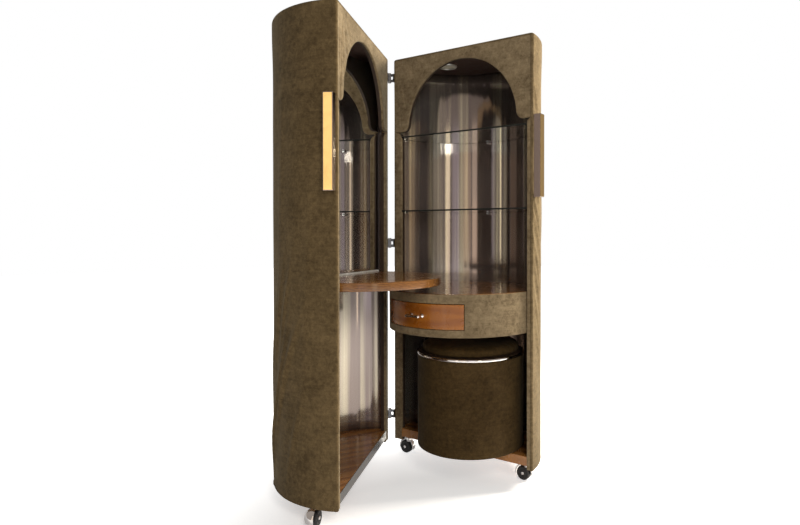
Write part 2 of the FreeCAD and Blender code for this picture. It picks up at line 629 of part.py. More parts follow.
def table_and_mirror():
    """The round table top, the cleat under it, and the mirror that stands on it."""
    node("table_top", "left", cylinder(
        "table_disc", "Places.table_radius", "Sizes.table_thickness", "Places.table_x",
        "Sizes.table_centre_back", "Places.table_underside"))
    node("table_cleat", "left", half_ring(
        "table_ledge", "Places.lining_bore", "Places.lining_bore - Sizes.table_cleat_width",
        "Sizes.table_cleat_height", "Places.table_underside - Sizes.table_cleat_height",
        "Sizes.table_cleat_front"))
    node("mirror_glass", "left", chord_slab(
        "glass_sheet", "Sizes.mirror_glass", "Places.mirror_height", "0"))
    node("mirror_board", "left", chord_slab(
        "glass_backing", "Sizes.mirror_board", "Places.mirror_height", "Sizes.mirror_glass"))
    node("mirror_trim", "left", chord_slab(
        "glass_trim", "Sizes.trim_depth", "Sizes.trim_height", "-Sizes.trim_depth"))
    node("floor_edge_strip", "left", box(
        "edge_strip", "Places.opening_width", "Sizes.edge_strip_thickness",
        "Sizes.edge_strip_height", "Places.opening_start", "Sizes.closing_gap",
        "Places.floor_top - Sizes.edge_strip_height"))


def chord_slab(name, thickness, height, offset):
    """A slab along the mirror's line, which turns inwards from the hinge side."""
    return box(name, "Places.mirror_width", thickness, height,
               f"Places.mirror_x - ({offset}) * sin(Sizes.mirror_angle)",
               f"Sizes.mirror_back + ({offset}) * cos(Sizes.mirror_angle)",
               "Places.table_height", about_z(sizes.mirror_angle))


def handle(side):
    """A box handle, open towards the back for the fingers, with an inlay on its face."""
    edge = "Sizes.handle_edge"
    wall = "Sizes.handle_wall"
    block = box(side + "_grip", "Sizes.handle_depth + Sizes.overrun", "Sizes.handle_width",
                "Sizes.handle_length", "Places.face_end - Sizes.overrun", edge,
                "Places.handle_bottom")
    recess = box(side + "_recess", f"Sizes.handle_depth + Sizes.overrun - {wall}",
                 "Sizes.handle_width", f"Sizes.handle_length - 2 * {wall}",
                 "Places.face_end - Sizes.overrun", f"{edge} + {wall}",
                 f"Places.handle_bottom + {wall}")
    seat = cylinder(side + "_handle_seat", "Places.outer_radius", "Sizes.shell_height",
                    "Places.axis_x", "0", "0")
    node(side + "_handle_bar", side, cut(side + "_handle", block, recess, seat))
    border = "Sizes.inlay_border"
    node(side + "_handle_inlay", side, box(
        side + "_inlay", "Sizes.inlay_thickness", f"Sizes.handle_width - 2 * {border}",
        f"Sizes.handle_length - 2 * {border}", "Places.handle_face",
        f"{edge} + {border}", f"Places.handle_bottom + {border}"))


def hinge_leaf(side, level, knuckles, clearance):
    """One leaf on the outside of the shell, with a web to each of its knuckles."""
    low = f"Places.hinge_{level}"
    name = f"{side}_{level}_leaf"
    plate = box(name + "_plate", "Sizes.leaf_thickness + Sizes.leaf_seat", "Sizes.leaf_width",
                "Sizes.hinge_height", "Places.face_start - Sizes.leaf_thickness",
                "Sizes.leaf_inset", low)
    tall = "Places.knuckle_height - 2 * Sizes.fit_gap"
    pieces = [plate]
    for place in knuckles:
        base = f"{low} + {place} * Places.knuckle_height + Sizes.fit_gap"
        pieces.append(cylinder(f"{name}_knuckle_{place}", "Sizes.knuckle_radius", tall, "0",
                               "0", base))
        pieces.append(box(f"{name}_web_{place}", "Places.face_start - Sizes.pin_radius",
                          "Sizes.web_thickness", tall, "Sizes.pin_radius",
                          "Sizes.leaf_inset", base))
    bore = cylinder(name + "_bore", f"Sizes.pin_radius + {clearance}", "Sizes.shell_height",
                    "0", "0", "0")
    seat = cylinder(name + "_seat", "Places.outer_radius", "Sizes.shell_height",
                    "Places.axis_x", "0", "0")
    return cut(name, fuse(name + "_blank", *pieces), seat, bore)


LEVELS = ("low", "middle", "high")


def hinges():
    """Three butt hinges on the line where the halves meet, with their pins."""
    node("right_hinge_leaves", "right", *[
        hinge_leaf("right", level, (0, 2), "0") for level in LEVELS])
    node("left_hinge_leaves", "left", *[
        hinge_leaf("left", level, (1,), "Sizes.pin_clearance") for level in LEVELS])
    pins = []
    for level in LEVELS:
        low = f"Places.hinge_{level}"
        rod = cylinder(level + "_rod", "Sizes.pin_radius", "Sizes.hinge_height", "0", "0", low)
        foot = cylinder(level + "_foot", "Sizes.knuckle_radius", "Sizes.pin_head_height", "0",
                        "0", f"{low} - Sizes.pin_head_height")
        head = cylinder(level + "_head", "Sizes.knuckle_radius", "Sizes.pin_head_height", "0",
                        "0", f"{low} + Sizes.hinge_height")
        pins.append(fuse(level + "_pin", rod, foot, head))
    node("hinge_pins", "right", *pins)


# where each caster's stem stands, and which way its wheel trails along X
CASTERS = {
    "right": {"right_hinge": ("Places.face_start + Sizes.caster_near",
                              "Sizes.caster_near_back", "-"),
              "right_outer": ("Places.face_end - Sizes.caster_far",
                              "Sizes.caster_side_back", "-"),
              "right_back": ("Places.axis_x", "Places.caster_middle_back", "+")},
    "left": {"left_outer": ("Places.face_end - Sizes.caster_far",
                            "Sizes.caster_left_back", "+"),
             "left_back": ("Places.axis_x", "Places.caster_middle_back", "+")},
}


def casters(side):
    """Fixed plates with stems, and a hood and a wheel at each."""
    plates = []
    for name, (x, y, trail) in CASTERS[side].items():
        plate = box(name + "_plate", "Sizes.plate_width", "Sizes.plate_width",
                    "Sizes.plate_thickness", f"{x} - Sizes.plate_width / 2",
                    f"{y} - Sizes.plate_width / 2", "Places.plate_bottom")
        stem = cylinder(name + "_stem", "Sizes.stem_radius",
                        "Places.plate_bottom + Sizes.stem_depth", x, y, "-Sizes.stem_depth")
        plates.append(fuse(name + "_fixing", plate, stem))
        centre = f"{x} {trail} Sizes.caster_trail"
        node(name + "_caster_hood", side, hood(name, x, y, centre))
        node(name + "_caster_wheel", side, wheel(name, y, centre))
    node(side + "_caster_plates", side, *plates)


def hood(name, x, y, centre):
    """A domed hood, open in front of its wheel, with a boss for the stem and an axle."""
    level = "Places.wheel_height"
    dome = sphere(name + "_dome", "Sizes.hood_radius", centre, y, level)
    front = box(name + "_front", "2 * Sizes.hood_radius", "Sizes.hood_radius",
                "2 * Sizes.hood_radius", f"{centre} - Sizes.hood_radius",
                f"{y} - Sizes.hood_open - Sizes.hood_radius", f"{level} - Sizes.hood_radius")
    boss = cylinder(name + "_boss", "Sizes.boss_radius", "Places.boss_top + Sizes.boss_depth",
                    x, y, "-Sizes.boss_depth")
    hollow = sphere(name + "_hollow", "Places.dome_bore", centre, y, level)
    below = box(name + "_below", "2 * Sizes.hood_radius", "2 * Sizes.hood_radius",
                "Sizes.hood_radius", f"{centre} - Sizes.hood_radius",
                f"{y} - Sizes.hood_radius", f"{level} - Sizes.hood_skirt - Sizes.hood_radius")
    bore = cylinder(name + "_boss_bore", "Sizes.stem_radius + Sizes.pin_clearance",
                    "Places.boss_top + 2 * Sizes.boss_depth", x, y, "-2 * Sizes.boss_depth")
    axle = cylinder(name + "_axle", "Sizes.axle_radius", "Places.axle_length", centre,
                    f"{y} - Sizes.wheel_width / 2 - Sizes.axle_end", level, ALONG_Y)
    blank = fuse(name + "_cap_blank", cut(name + "_half_dome", dome, front), boss)
    return fuse(name + "_hood", cut(name + "_cap", blank, hollow, below, bore), axle)


def wheel(name, y, centre):
    """A wheel with rounded shoulders, turned about its bore, on the hood's axle."""
    outline = (("Places.wheel_bore", "0"), ("Places.wheel_shoulder", "0"),
               ("Sizes.wheel_radius", "Sizes.wheel_rounding"),
               ("Sizes.wheel_radius", "Places.tread_end"),
               ("Places.wheel_shoulder", "Sizes.wheel_width"),
               ("Places.wheel_bore", "Sizes.wheel_width"))
    body = turned(name + "_tyre", outline, {1: "Sizes.wheel_rounding",
                                            3: "Sizes.wheel_rounding"})
    return put(body, centre, f"{y} - Sizes.wheel_width / 2", "Places.wheel_height", ALONG_Y)


def check_objects():
    """Stops the build if an object failed or a sub-part has no valid solid."""
    for thing in doc.Objects:
        if "Invalid" in thing.State or "Error" in thing.State:
            raise SystemExit(f"failed object {thing.Name}: {thing.State}")
    for part in nodes:
        if part.Shape.isNull() or not part.Shape.isValid() or not part.Shape.Solids:
            raise SystemExit("bad shape in " + part.Label)


def centre_origin():
    """Moves the origin to the middle of the footprint, on the floor."""
    extent = FreeCAD.BoundBox()
    for part in nodes:
        extent.add(part.Shape.optimalBoundingBox(False, False))
    for row, value in enumerate((extent.Center.x, extent.Center.y), len(DRIVING) + 1):
        sizes.set(f"B{row}", str(value))
    doc.recompute()
    return extent


for half in ("right", "left"):
    shell(half)
right_fittings()
desk()
drawer()
stool()
table_and_mirror()
for half in ("right", "left"):
    handle(half)
hinges()
for half in ("right", "left"):
    casters(half)
doc.recompute()
check_objects()
extent = centre_origin()
check_objects()
os.makedirs("parts", exist_ok=True)
for part in nodes:
    part.Shape.exportStep(f"parts/{part.Label}.step")
print("nodes", len(nodes), "solids", sum(len(part.Shape.Solids) for part in nodes))
print("hinge axis at", -sizes.origin_across, -sizes.origin_back)
print("box", extent.XLength, extent.YLength, extent.ZLength, "lowest", extent.ZMin)
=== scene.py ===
import json
import math

import bmesh
import bpy
import numpy as np
from bpy.props import FloatProperty, FloatVectorProperty, PointerProperty
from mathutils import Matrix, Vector


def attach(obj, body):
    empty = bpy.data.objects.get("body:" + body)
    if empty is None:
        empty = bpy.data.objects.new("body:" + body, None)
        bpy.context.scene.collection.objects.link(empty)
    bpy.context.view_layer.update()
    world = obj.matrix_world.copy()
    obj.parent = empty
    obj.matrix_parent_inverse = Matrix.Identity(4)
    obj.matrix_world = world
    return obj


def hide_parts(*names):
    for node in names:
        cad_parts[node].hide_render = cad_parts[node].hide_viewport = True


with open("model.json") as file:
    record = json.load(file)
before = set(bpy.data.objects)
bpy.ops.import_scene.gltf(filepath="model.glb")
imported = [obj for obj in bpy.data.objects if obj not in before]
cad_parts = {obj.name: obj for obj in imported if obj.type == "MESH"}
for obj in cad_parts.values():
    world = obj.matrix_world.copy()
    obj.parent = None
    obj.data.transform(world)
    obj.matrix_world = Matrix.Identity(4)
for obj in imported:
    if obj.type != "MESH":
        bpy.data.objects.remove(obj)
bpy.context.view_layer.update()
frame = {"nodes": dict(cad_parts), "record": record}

bl_info = {
    "name": "Dressing Cabinet",
    "version": (1, 0, 0),
    "blender": (4, 5, 0),
    "location": "3D View > Sidebar > Cabinet",
    "description": "Dresses a hinged dressing cabinet in suede, veneer, glass and polished metal",
    "category": "Object",
}

JOINTS = {joint["name"]: joint for joint in frame["record"]["behaviour"]["joints"]}
HINGE = JOINTS["left_half_hinge"]
AXIS = np.array([HINGE["pos_m"][0], HINGE["pos_m"][1], 0])
SWING = math.radians(-HINGE["range_deg"][0])
UP = np.array([0, 0, 1])


def mesh_rows(mesh):
    """A mesh's vertices as rows of x, y and z."""
    points = np.empty(len(mesh.vertices) * 3)
    mesh.vertices.foreach_get("co", points)
    return points.reshape(-1, 3)


def mesh_points(node):
    """A CAD node's vertices, as rows of x, y and z in the row frame."""
    return mesh_rows(frame["nodes"][node].data)


class Half:
    """One half of the cabinet: across runs from the hinge line along its opening, and back
    runs into the half. A local point is (across, back, height)."""

    def __init__(self, side, swing):
        self.side = side
        self.body = side + "_half"
        self.across = np.array([math.cos(swing), -math.sin(swing), 0])
        turned_back = np.array([-math.sin(swing), -math.cos(swing), 0])
        self.back = turned_back if side == "left" else np.array([0, 1, 0])

    def place(self, points):
        """Local points in the row frame."""
        points = np.asarray(points, float)
        return (AXIS + points[..., 0:1] * self.across + points[..., 1:2] * self.back
                + points[..., 2:3] * UP)

    def extent(self, node):
        """The lowest and highest local corners of a CAD node."""
        off = mesh_points(node) - AXIS
        local = np.stack([off @ self.across, off @ self.back, off[:, 2]], 1)
        return local.min(0), local.max(0)

    def angle(self):
        """How far the across direction is turned from the row's X."""
        return math.atan2(self.across[1], self.across[0])


RIGHT = Half("right", 0)
LEFT = Half("left", SWING)
HALVES = (RIGHT, LEFT)

COVER_LOW, COVER_HIGH = RIGHT.extent("right_outer_cover")
RADIUS = (COVER_HIGH[0] - COVER_LOW[0]) / 2
MIDDLE = (COVER_HIGH[0] + COVER_LOW[0]) / 2
BASE = COVER_LOW[2]
TOP = COVER_HIGH[2]
FRONT = COVER_LOW[1]
OPEN_START, OPEN_END = (corner[0] for corner in LEFT.extent("floor_edge_strip"))
OPEN_MIDDLE = (OPEN_START + OPEN_END) / 2
FOOT = RIGHT.extent("right_arch_panel")[0][2]
LINING_END = RIGHT.extent("right_lining")[1][0]

SKIN_FRONT = FRONT + 0.0002
MERGE_DISTANCE = 0.00002
SLIVER = 0.00001
FAR = 1e3
TINY = 1e-9
OUTLINE_POINTS = 720
# Degrees past which an edge stays sharp, and the thickness of each bent sheet.
CLOTH_SHARP = 60
BOARD_SHARP = 50
METAL_SHARP = 40
COVER_THICK = 0.003
DRUM_THICK = 0.0025
APRON_THICK = 0.0045
DRAWER_THICK = 0.0165
LINING_THICK = 0.0006
# What each surface's unevenness is drawn from.
SEEDS = {"outer": {"left": 11, "right": 23}, "arch": {"left": 41, "right": 43},
         "stile": {"left": 38, "right": 31}, "apron": 5, "drum": 3, "cushion_side": 9,
         "cushion_top": 17}


def length(name, description, default):
    """A length for the scene's panel."""
    return FloatProperty(name=name, description=description, default=default, unit="LENGTH")


def swatch(name, description, default):
    """A colour for the scene's panel."""
    return FloatVectorProperty(name=name, description=description, default=default,
                               subtype="COLOR")


class CabinetSizes(bpy.types.PropertyGroup):
    """Sizes that someone who restyles the cabinet would change."""

    arch_radius: length("Arch radius", "Radius of the round arch over each opening", 0.258)
    arch_shift: length("Arch shift", "How far the arch stands off the opening's middle", 0.005)
    foot_rounding: length("Foot rounding", "Rounding where the arch meets its foot", 0.030)
    hinge_stile_rounding: length(
        "Hinge stile rounding", "Rounding at the head of the hinge stile", 0.038)
    outer_stile_rounding: length(
        "Outer stile rounding", "Rounding at the head of the outer stile", 0.020)
    corner_rounding: length(
        "Corner rounding", "Rounding of the suede at the outer corners", 0.008)
    top_rounding: length("Top rounding", "Rounding of the suede round the top", 0.008)
    fold_height: length("Fold height", "Height of a fold of weight 1 in the outer suede", 0.0032)
    bow_radius: length("Bow radius", "Radius of the bowed desk front", 0.296)
    bow_back: length("Bow centre", "How far the bow's centre lies behind the opening", 0.030)
    edge_rounding: length("Edge rounding", "Rounding of the veneered boards' edges", 0.003)
    mirror_turn: FloatProperty(
        name="Mirror turn", description="Angle between the mirror and the opening",
        default=math.radians(16), unit="ROTATION")


class CabinetColours(bpy.types.PropertyGroup):
    """Colours of the finishes, as linear values."""

    suede_light: swatch(
        "Suede light", "Where the nap lies towards the eye", (0.240, 0.180, 0.106))
    suede_dark: swatch(
        "Suede dark", "Where the nap lies away from the eye", (0.062, 0.043, 0.023))
    veneer_light: swatch(
        "Veneer light", "Early wood of the red-brown veneer", (0.400, 0.175, 0.046))
    veneer_dark: swatch(
        "Veneer dark", "Late wood of the red-brown veneer", (0.090, 0.034, 0.010))
    drawer_light: swatch("Drawer light", "Early wood of the drawer front", (0.330, 0.112, 0.010))
    drawer_dark: swatch("Drawer dark", "Late wood of the drawer front", (0.200, 0.058, 0.006))
    steel: swatch("Lining", "Polished sheet metal inside", (0.640, 0.580, 0.440))
    gilt: swatch("Gilt", "Gilt face of the handles", (0.830, 0.600, 0.260))


def sizes():
    """The sizes in the scene's panel."""
    return bpy.context.scene.cabinet_sizes


def colours():
    """The colours in the scene's panel."""
    return bpy.context.scene.cabinet_colours


# Mesh building

def grid_faces(rows, columns, wrap=False):
    """Quads between neighbouring points of a grid; wrap joins the last column to the first."""
    row, column = np.meshgrid(np.arange(rows - 1),
                              np.arange(columns if wrap else columns - 1), indexing="ij")
    following = (column + 1) % columns
    quads = np.stack([row * columns + column, row * columns + following,
                      (row + 1) * columns + following, (row + 1) * columns + column], -1)
    return quads.reshape(-1, 4)


class Skin:
    """The points and faces of one piece, gathered surface by surface."""

    def __init__(self):
        self.points = []
        self.faces = []
        self.finish = []
        self.count = 0

    def add(self, grid, wrap=False, caps=False, finish=0, keep=None):
        """Adds a grid of points as quads, with end caps if it is a tube; keep drops faces."""
        rows, columns = grid.shape[:2]
        faces = grid_faces(rows, columns, wrap)
        if keep is not None:
            faces = faces[keep.reshape(-1)]
        faces = (faces + self.count).tolist()
        if caps:
            faces.append((np.arange(columns)[::-1] + self.count).tolist())
            faces.append((np.arange(columns) + self.count + (rows - 1) * columns).tolist())
        self.points.append(grid.reshape(-1, 3))
        self.faces += faces
        self.finish += [finish] * len(faces)
        self.count += rows * columns
        return self

    def turn(self, profile, centre, count, axis=UP, ease=None):
        """Adds a profile of (radius, height) turned about an axis: each point is the centre,
        plus the radius times the turning direction, plus the height times the axis. Ease
        gives what the radius gains at a turn and a height."""
        profile = np.asarray(profile, float)
        axis = np.asarray(axis, float) / np.linalg.norm(axis)
        side = np.cross(axis, UP if abs(axis[2]) < 0.9 else np.array([1, 0, 0]))
        side = side / np.linalg.norm(side)
        other = np.cross(axis, side)
        turn = np.linspace(0, 2 * math.pi, count, endpoint=False)
        out = np.cos(turn)[:, None] * side + np.sin(turn)[:, None] * other
        radius = np.repeat(profile[:, :1], count, 1)
        if ease is not None:
            radius = radius + ease(turn[None, :], profile[:, 1:2])
        return self.add(centre + radius[..., None] * out[None] + profile[:, None, 1:2] * axis,
                        wrap=True)


def make(name, skin, body, finishes, facing=None, away=None, sharp=35, replaces=()):
    """Turns a skin into a piece that rides on a body. Its doubles are merged and its normals
    made outward; an open sheet faces the point facing, or faces away from the point away."""
    mesh = bpy.data.meshes.new(name)
    mesh.from_pydata(np.concatenate(skin.points).tolist(), [], skin.faces)
    for finish in finishes:
        mesh.materials.append(finish)
    mesh.polygons.foreach_set("material_index", skin.finish)
    work = bmesh.new()
    work.from_mesh(mesh)
    bmesh.ops.remove_doubles(work, verts=work.verts, dist=MERGE_DISTANCE)
    bmesh.ops.dissolve_degenerate(work, edges=work.edges, dist=SLIVER)
    bmesh.ops.recalc_face_normals(work, faces=work.faces)
    target = facing if facing is not None else away
    if target is not None:
        score = sum(face.normal.dot(face.calc_center_median() - Vector(target))
                    * face.calc_area() for face in work.faces)
        if (score > 0) == (facing is not None):
            bmesh.ops.reverse_faces(work, faces=work.faces)
    work.to_mesh(mesh)
    work.free()
    return finish_piece(name, mesh, body, sharp, replaces)


def finish_piece(name, mesh, body, sharp, replaces):
    """Links a mesh as a smooth-shaded piece, riding on its body in place of CAD nodes."""
    mesh.shade_smooth()
    mesh.set_sharp_from_angle(angle=math.radians(sharp))
    piece = bpy.data.objects.new(name, mesh)
    bpy.context.scene.collection.objects.link(piece)
    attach(piece, body)
    if replaces:
        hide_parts(*replaces)
    return piece


def solidify(piece, thickness):
    """Gives an open sheet its thickness, behind the side that it shows."""
    wall = piece.modifiers.new("Wall", "SOLIDIFY")
    wall.thickness = thickness
    wall.offset = -1
    return piece


def bevel(piece, width, segments=3):
    """Rounds every edge sharper than 30 degrees."""
    rounding = piece.modifiers.new("Rounding", "BEVEL")
    rounding.width = width
    rounding.segments = segments
    rounding.limit_method = "ANGLE"
    rounding.angle_limit = math.radians(30)
    rounding.harden_normals = True
    return piece


def softened(name, node, body, finish, width, segments=3):
    """A merged copy of a CAD node's mesh, its flat faces joined and its edges rounded."""
    mesh = frame["nodes"][node].data.copy()
    mesh.name = name
    mesh.materials.clear()
    mesh.materials.append(finish)
    work = bmesh.new()
    work.from_mesh(mesh)
    bmesh.ops.remove_doubles(work, verts=work.verts, dist=MERGE_DISTANCE)
    bmesh.ops.dissolve_limit(work, angle_limit=math.radians(2), verts=work.verts,
                             edges=work.edges)
    bmesh.ops.recalc_face_normals(work, faces=work.faces)
    for face in work.faces:
        face.material_index = 0
    work.to_mesh(mesh)
    work.free()
    return bevel(finish_piece(name, mesh, body, 35, (node,)), width, segments)


def arc(centre, radius, start, end, count):
    """Points (first, second) on an arc: centre plus radius times (cos, sin) of the angle."""
    angle = np.linspace(start, end, count)
    return np.stack([centre[0] + radius * np.cos(angle), centre[1] + radius * np.sin(angle)], 1)


def through(stops, counts):
    """Places that run through the stops, so many from each stop to the next."""
    parts = [np.linspace(start, end, count)[:-1]
             for start, end, count in zip(stops, stops[1:], counts)]
    return np.append(np.concatenate(parts), stops[-1])


def gauss(value, width):
    """A bell curve of height 1 and the given width."""
    return np.exp(-(value / width) ** 2)


def creases(u, v, folds):
    """Soft ridges on a cloth: each fold is (u, v, direction, length, width, height), a bell
    across its direction that fades along it."""
    total = np.zeros(np.broadcast(u, v).shape)
    for at_u, at_v, direction, length, width, height in folds:
        along = (u - at_u) * math.cos(direction) + (v - at_v) * math.sin(direction)
        across = (v - at_v) * math.cos(direction) - (u - at_u) * math.sin(direction)
        total = total + height * gauss(across, width) * gauss(along, length)
    return total


WAVES = 6


def ripple(u, v, seed, scale, height):
    """A slow uneven swell: the sum of six sine waves whose directions and phases come from
    the seed, for cloth that isn't quite flat."""
    random = np.random.default_rng(seed)
    total = np.zeros(np.broadcast(u, v).shape)
    for wave in range(WAVES):
        heading = random.uniform(0, math.pi)
        pitch = 2 * math.pi / (scale * random.uniform(0.5, 1.6))
        phase = random.uniform(0, 2 * math.pi)
        total = total + np.sin((u * math.cos(heading) + v * math.sin(heading)) * pitch + phase)
    return total * height / WAVES


# Finishes

FLOAT = "NodeSocketFloat"
COLOR = "NodeSocketColor"
VECTOR = "NodeSocketVector"
LEVEL = (math.pi / 2, 0, 0)


def feed(tree, node, inputs):
    """Fills a node's inputs, each by its name or number: a link's end is linked, and any
    other value is set."""
    for key, value in inputs.items():
        if isinstance(value, bpy.types.NodeSocket):
            tree.links.new(value, node.inputs[key])
        else:
            node.inputs[key].default_value = value


def add(tree, kind, inputs, **settings):
    """A node with its settings and its input values or links."""
    node = tree.nodes.new(kind)
    for key, value in settings.items():
        setattr(node, key, value)
    feed(tree, node, inputs)
    return node


def noise(tree, vector, scale, detail, roughness=0.55, distortion=0.0):
    """A noise texture's value."""
    return add(tree, "ShaderNodeTexNoise", {
        "Vector": vector, "Scale": scale, "Detail": detail, "Roughness": roughness,
        "Distortion": distortion}).outputs["Fac"]


def stretch(tree, vector, scale):
    """Coordinates multiplied by a factor along each axis."""
    return add(tree, "ShaderNodeMapping", {"Vector": vector, "Scale": scale}).outputs[0]


def remap(tree, value, low, high, to_low, to_high):
    """The value carried from one range to another, and kept inside it."""
    return add(tree, "ShaderNodeMapRange", {
        "Value": value, "From Min": low, "From Max": high, "To Min": to_low,
        "To Max": to_high}).outputs["Result"]


def mix_colour(tree, factor, first, second):
    """Two colours mixed by a factor, by the mix node's colour sockets."""
    return add(tree, "ShaderNodeMix", {0: factor, 6: first, 7: second},
               data_type="RGBA").outputs[2]


def chain(tree, operation, total, *values):
    """The result of an arithmetic operation on two or more values, in their order."""
    for value in values:
        total = add(tree, "ShaderNodeMath", {0: total, 1: value}, operation=operation).outputs[0]
    return total


def bump(tree, height, strength, distance):
    """A normal that follows a height."""
    return add(tree, "ShaderNodeBump", {
        "Height": height, "Strength": strength, "Distance": distance}).outputs[0]


def group(name, given, result):
    """A new shader group with named sockets: its tree, its inputs and its output node."""
    tree = bpy.data.node_groups.new(name, "ShaderNodeTree")
    for in_out, sockets in (("INPUT", given), ("OUTPUT", result)):
        for label, kind in sockets.items():
            tree.interface.new_socket(label, in_out=in_out, socket_type=kind)
    return tree, tree.nodes.new("NodeGroupInput").outputs, tree.nodes.new("NodeGroupOutput")


def nap_group(name):
    """Suede nap: brushed patches, small mottling, short level strokes and fibres."""
    tree, given, result = group(
        name, {"Vector": VECTOR, "Light": COLOR, "Dark": COLOR, "Patch scale": FLOAT},
        {"Color": COLOR, "Height": FLOAT, "Roughness": FLOAT})
    place = given["Vector"]
    patches = noise(tree, place, given["Patch scale"], 4.0, 0.62, 0.7)
    mottle = noise(tree, place, 70.0, 3.0, 0.7, 0.5)
    strokes = noise(tree, stretch(tree, place, (14.0, 14.0, 120.0)), 1.0, 3.0, 0.6, 0.5)
    fibre = noise(tree, place, 900.0, 2.0, 0.6)
    tone = chain(tree, "ADD", remap(tree, patches, 0.34, 0.66, 0.04, 0.38),
                 remap(tree, mottle, 0.32, 0.68, 0.0, 0.46),
                 remap(tree, strokes, 0.3, 0.7, -0.08, 0.12),
                 remap(tree, fibre, 0.35, 0.65, -0.16, 0.16))
    feed(tree, result, {
        "Color": mix_colour(tree, tone, given["Dark"], given["Light"]),
        "Height": chain(tree, "ADD", chain(tree, "MULTIPLY", mottle, 0.6),
                        chain(tree, "MULTIPLY", fibre, 0.4)),
        "Roughness": remap(tree, patches, 0.3, 0.7, 0.95, 0.8)})
    return tree


def figure_group(name):
    """Veneer figure: long wandering growth lines, fine pores and slow colour change."""
    tree, given, result = group(
        name, {"Vector": VECTOR, "Light": COLOR, "Dark": COLOR, "Turn": VECTOR,
               "Line scale": FLOAT}, {"Color": COLOR, "Height": FLOAT})
    grain = add(tree, "ShaderNodeMapping", {
        "Vector": given["Vector"], "Rotation": given["Turn"]}).outputs[0]
    long = stretch(tree, grain, (0.22, 1.0, 0.5))
    lines = add(tree, "ShaderNodeTexWave", {
        "Vector": long, "Scale": given["Line scale"], "Distortion": 7.0, "Detail": 3.0,
        "Detail Scale": 1.4, "Detail Roughness": 0.6}, wave_type="BANDS",
        bands_direction="Y").outputs["Fac"]
    pores = noise(tree, stretch(tree, grain, (18.0, 520.0, 520.0)), 1.0, 2.0, 0.6)
    slow = noise(tree, long, 9.0, 3.0, 0.5, 0.8)
    tone = chain(tree, "MULTIPLY", remap(tree, lines, 0.05, 0.95, 0.15, 1.0),
                 remap(tree, slow, 0.3, 0.7, 0.45, 1.0),
                 remap(tree, pores, 0.3, 0.55, 0.7, 1.0))
    feed(tree, result, {"Color": mix_colour(tree, tone, given["Dark"], given["Light"]),
                        "Height": pores})
    return tree


def streak_and_reflection_group(name):
    """Rolled sheet metal: fine upright streaks, and broad upright bands that are painted
    reflections of tall lights.
    """
    tree, given, result = group(name, {"Vector": VECTOR, "Light": COLOR, "Dark": COLOR},
                                {"Color": COLOR, "Height": FLOAT, "Roughness": FLOAT})
    place = given["Vector"]
    bands = noise(tree, stretch(tree, place, (19.0, 19.0, 0.25)), 1.0, 2.5, 0.6)
    lines = noise(tree, stretch(tree, place, (420.0, 420.0, 2.0)), 1.0, 2.0, 0.6)
    # The broad bands are painted reflections; the fine lines are the sheet's own streaks.
    tone = chain(tree, "ADD", remap(tree, bands, 0.48, 0.66, 0.0, 0.9),
                 remap(tree, lines, 0.3, 0.7, 0.0, 0.10))
    feed(tree, result, {
        "Color": mix_colour(tree, tone, given["Dark"], given["Light"]),
        "Height": chain(tree, "ADD", bands, chain(tree, "MULTIPLY", lines, 0.02)),
        "Roughness": remap(tree, lines, 0.3, 0.7, 0.09, 0.14)})
    return tree


def smudge_group(name):
    """Handling marks: cloudy dulling for polished faces, and fine scratches."""
    tree, given, result = group(name, {"Vector": VECTOR, "Clear": FLOAT, "Dull": FLOAT},
                                {"Roughness": FLOAT, "Height": FLOAT})
    place = given["Vector"]
    clouds = noise(tree, place, 24.0, 5.0, 0.65, 0.8)
    feed(tree, result, {
        "Roughness": remap(tree, clouds, 0.35, 0.75, given["Clear"], given["Dull"]),
        "Height": noise(tree, stretch(tree, place, (60.0, 700.0, 300.0)), 1.0, 2.0, 0.5)})
    return tree


GROUPS = {"Suede nap": nap_group, "Veneer figure": figure_group,
          "Upright streaks and painted reflections": streak_and_reflection_group, "Handling marks": smudge_group}


def use_group(tree, name, inputs):
    """The outputs of a shared group placed in a material, which is made the first time."""
    shared = bpy.data.node_groups.get(name) or GROUPS[name](name)
    return add(tree, "ShaderNodeGroup", inputs, node_tree=shared).outputs


def marks(tree, place, clear, dull):
    """The handling marks' outputs, for a roughness from clear to dull."""
    return use_group(tree, "Handling marks", {"Vector": place, "Clear": clear, "Dull": dull})


def shader(name):
    """A new material: its tree, its surface shader and its object coordinates."""
    finish = bpy.data.materials.new(name)
    finish.use_nodes = True
    tree = finish.node_tree
    surface = tree.nodes["Principled BSDF"]
    place = tree.nodes.new("ShaderNodeTexCoord").outputs["Object"]
    return finish, tree, surface, place


def once(build):
    """Has a finish made the first time that its name is asked for, and found after that."""
    def find(name, *settings):
        return bpy.data.materials.get(name) or build(name, *settings)
    return find


def opaque(colour, factor=1.0):
    """Four channels of a colour, made lighter or darker."""
    return tuple(min(1.0, channel * factor) for channel in colour) + (1.0,)


@once
def suede(name, factor, patch, blue=1.0):
    """Napped suede, lighter or darker by a factor, and browner with less blue. The factor gives lit
    and shaded copies of one suede: painted light above 1, painted shade below it.
    """
    finish, tree, surface, place = shader(name)
    tint = factor * np.array([1.0, blue ** 0.28, blue])
    nap = use_group(tree, "Suede nap", {
        "Vector": place, "Light": opaque(tint * colours().suede_light),
        "Dark": opaque(tint * colours().suede_dark), "Patch scale": patch})
    feed(tree, surface, {
        "Base Color": nap["Color"], "Roughness": nap["Roughness"], "Specular IOR Level": 0.15,
        "Sheen Weight": 0.22 * factor, "Sheen Roughness": 0.4,
        "Sheen Tint": (0.95, 0.85, 0.62, 1.0),
        "Normal": bump(tree, nap["Height"], strength=0.6, distance=0.0011)})
    return finish


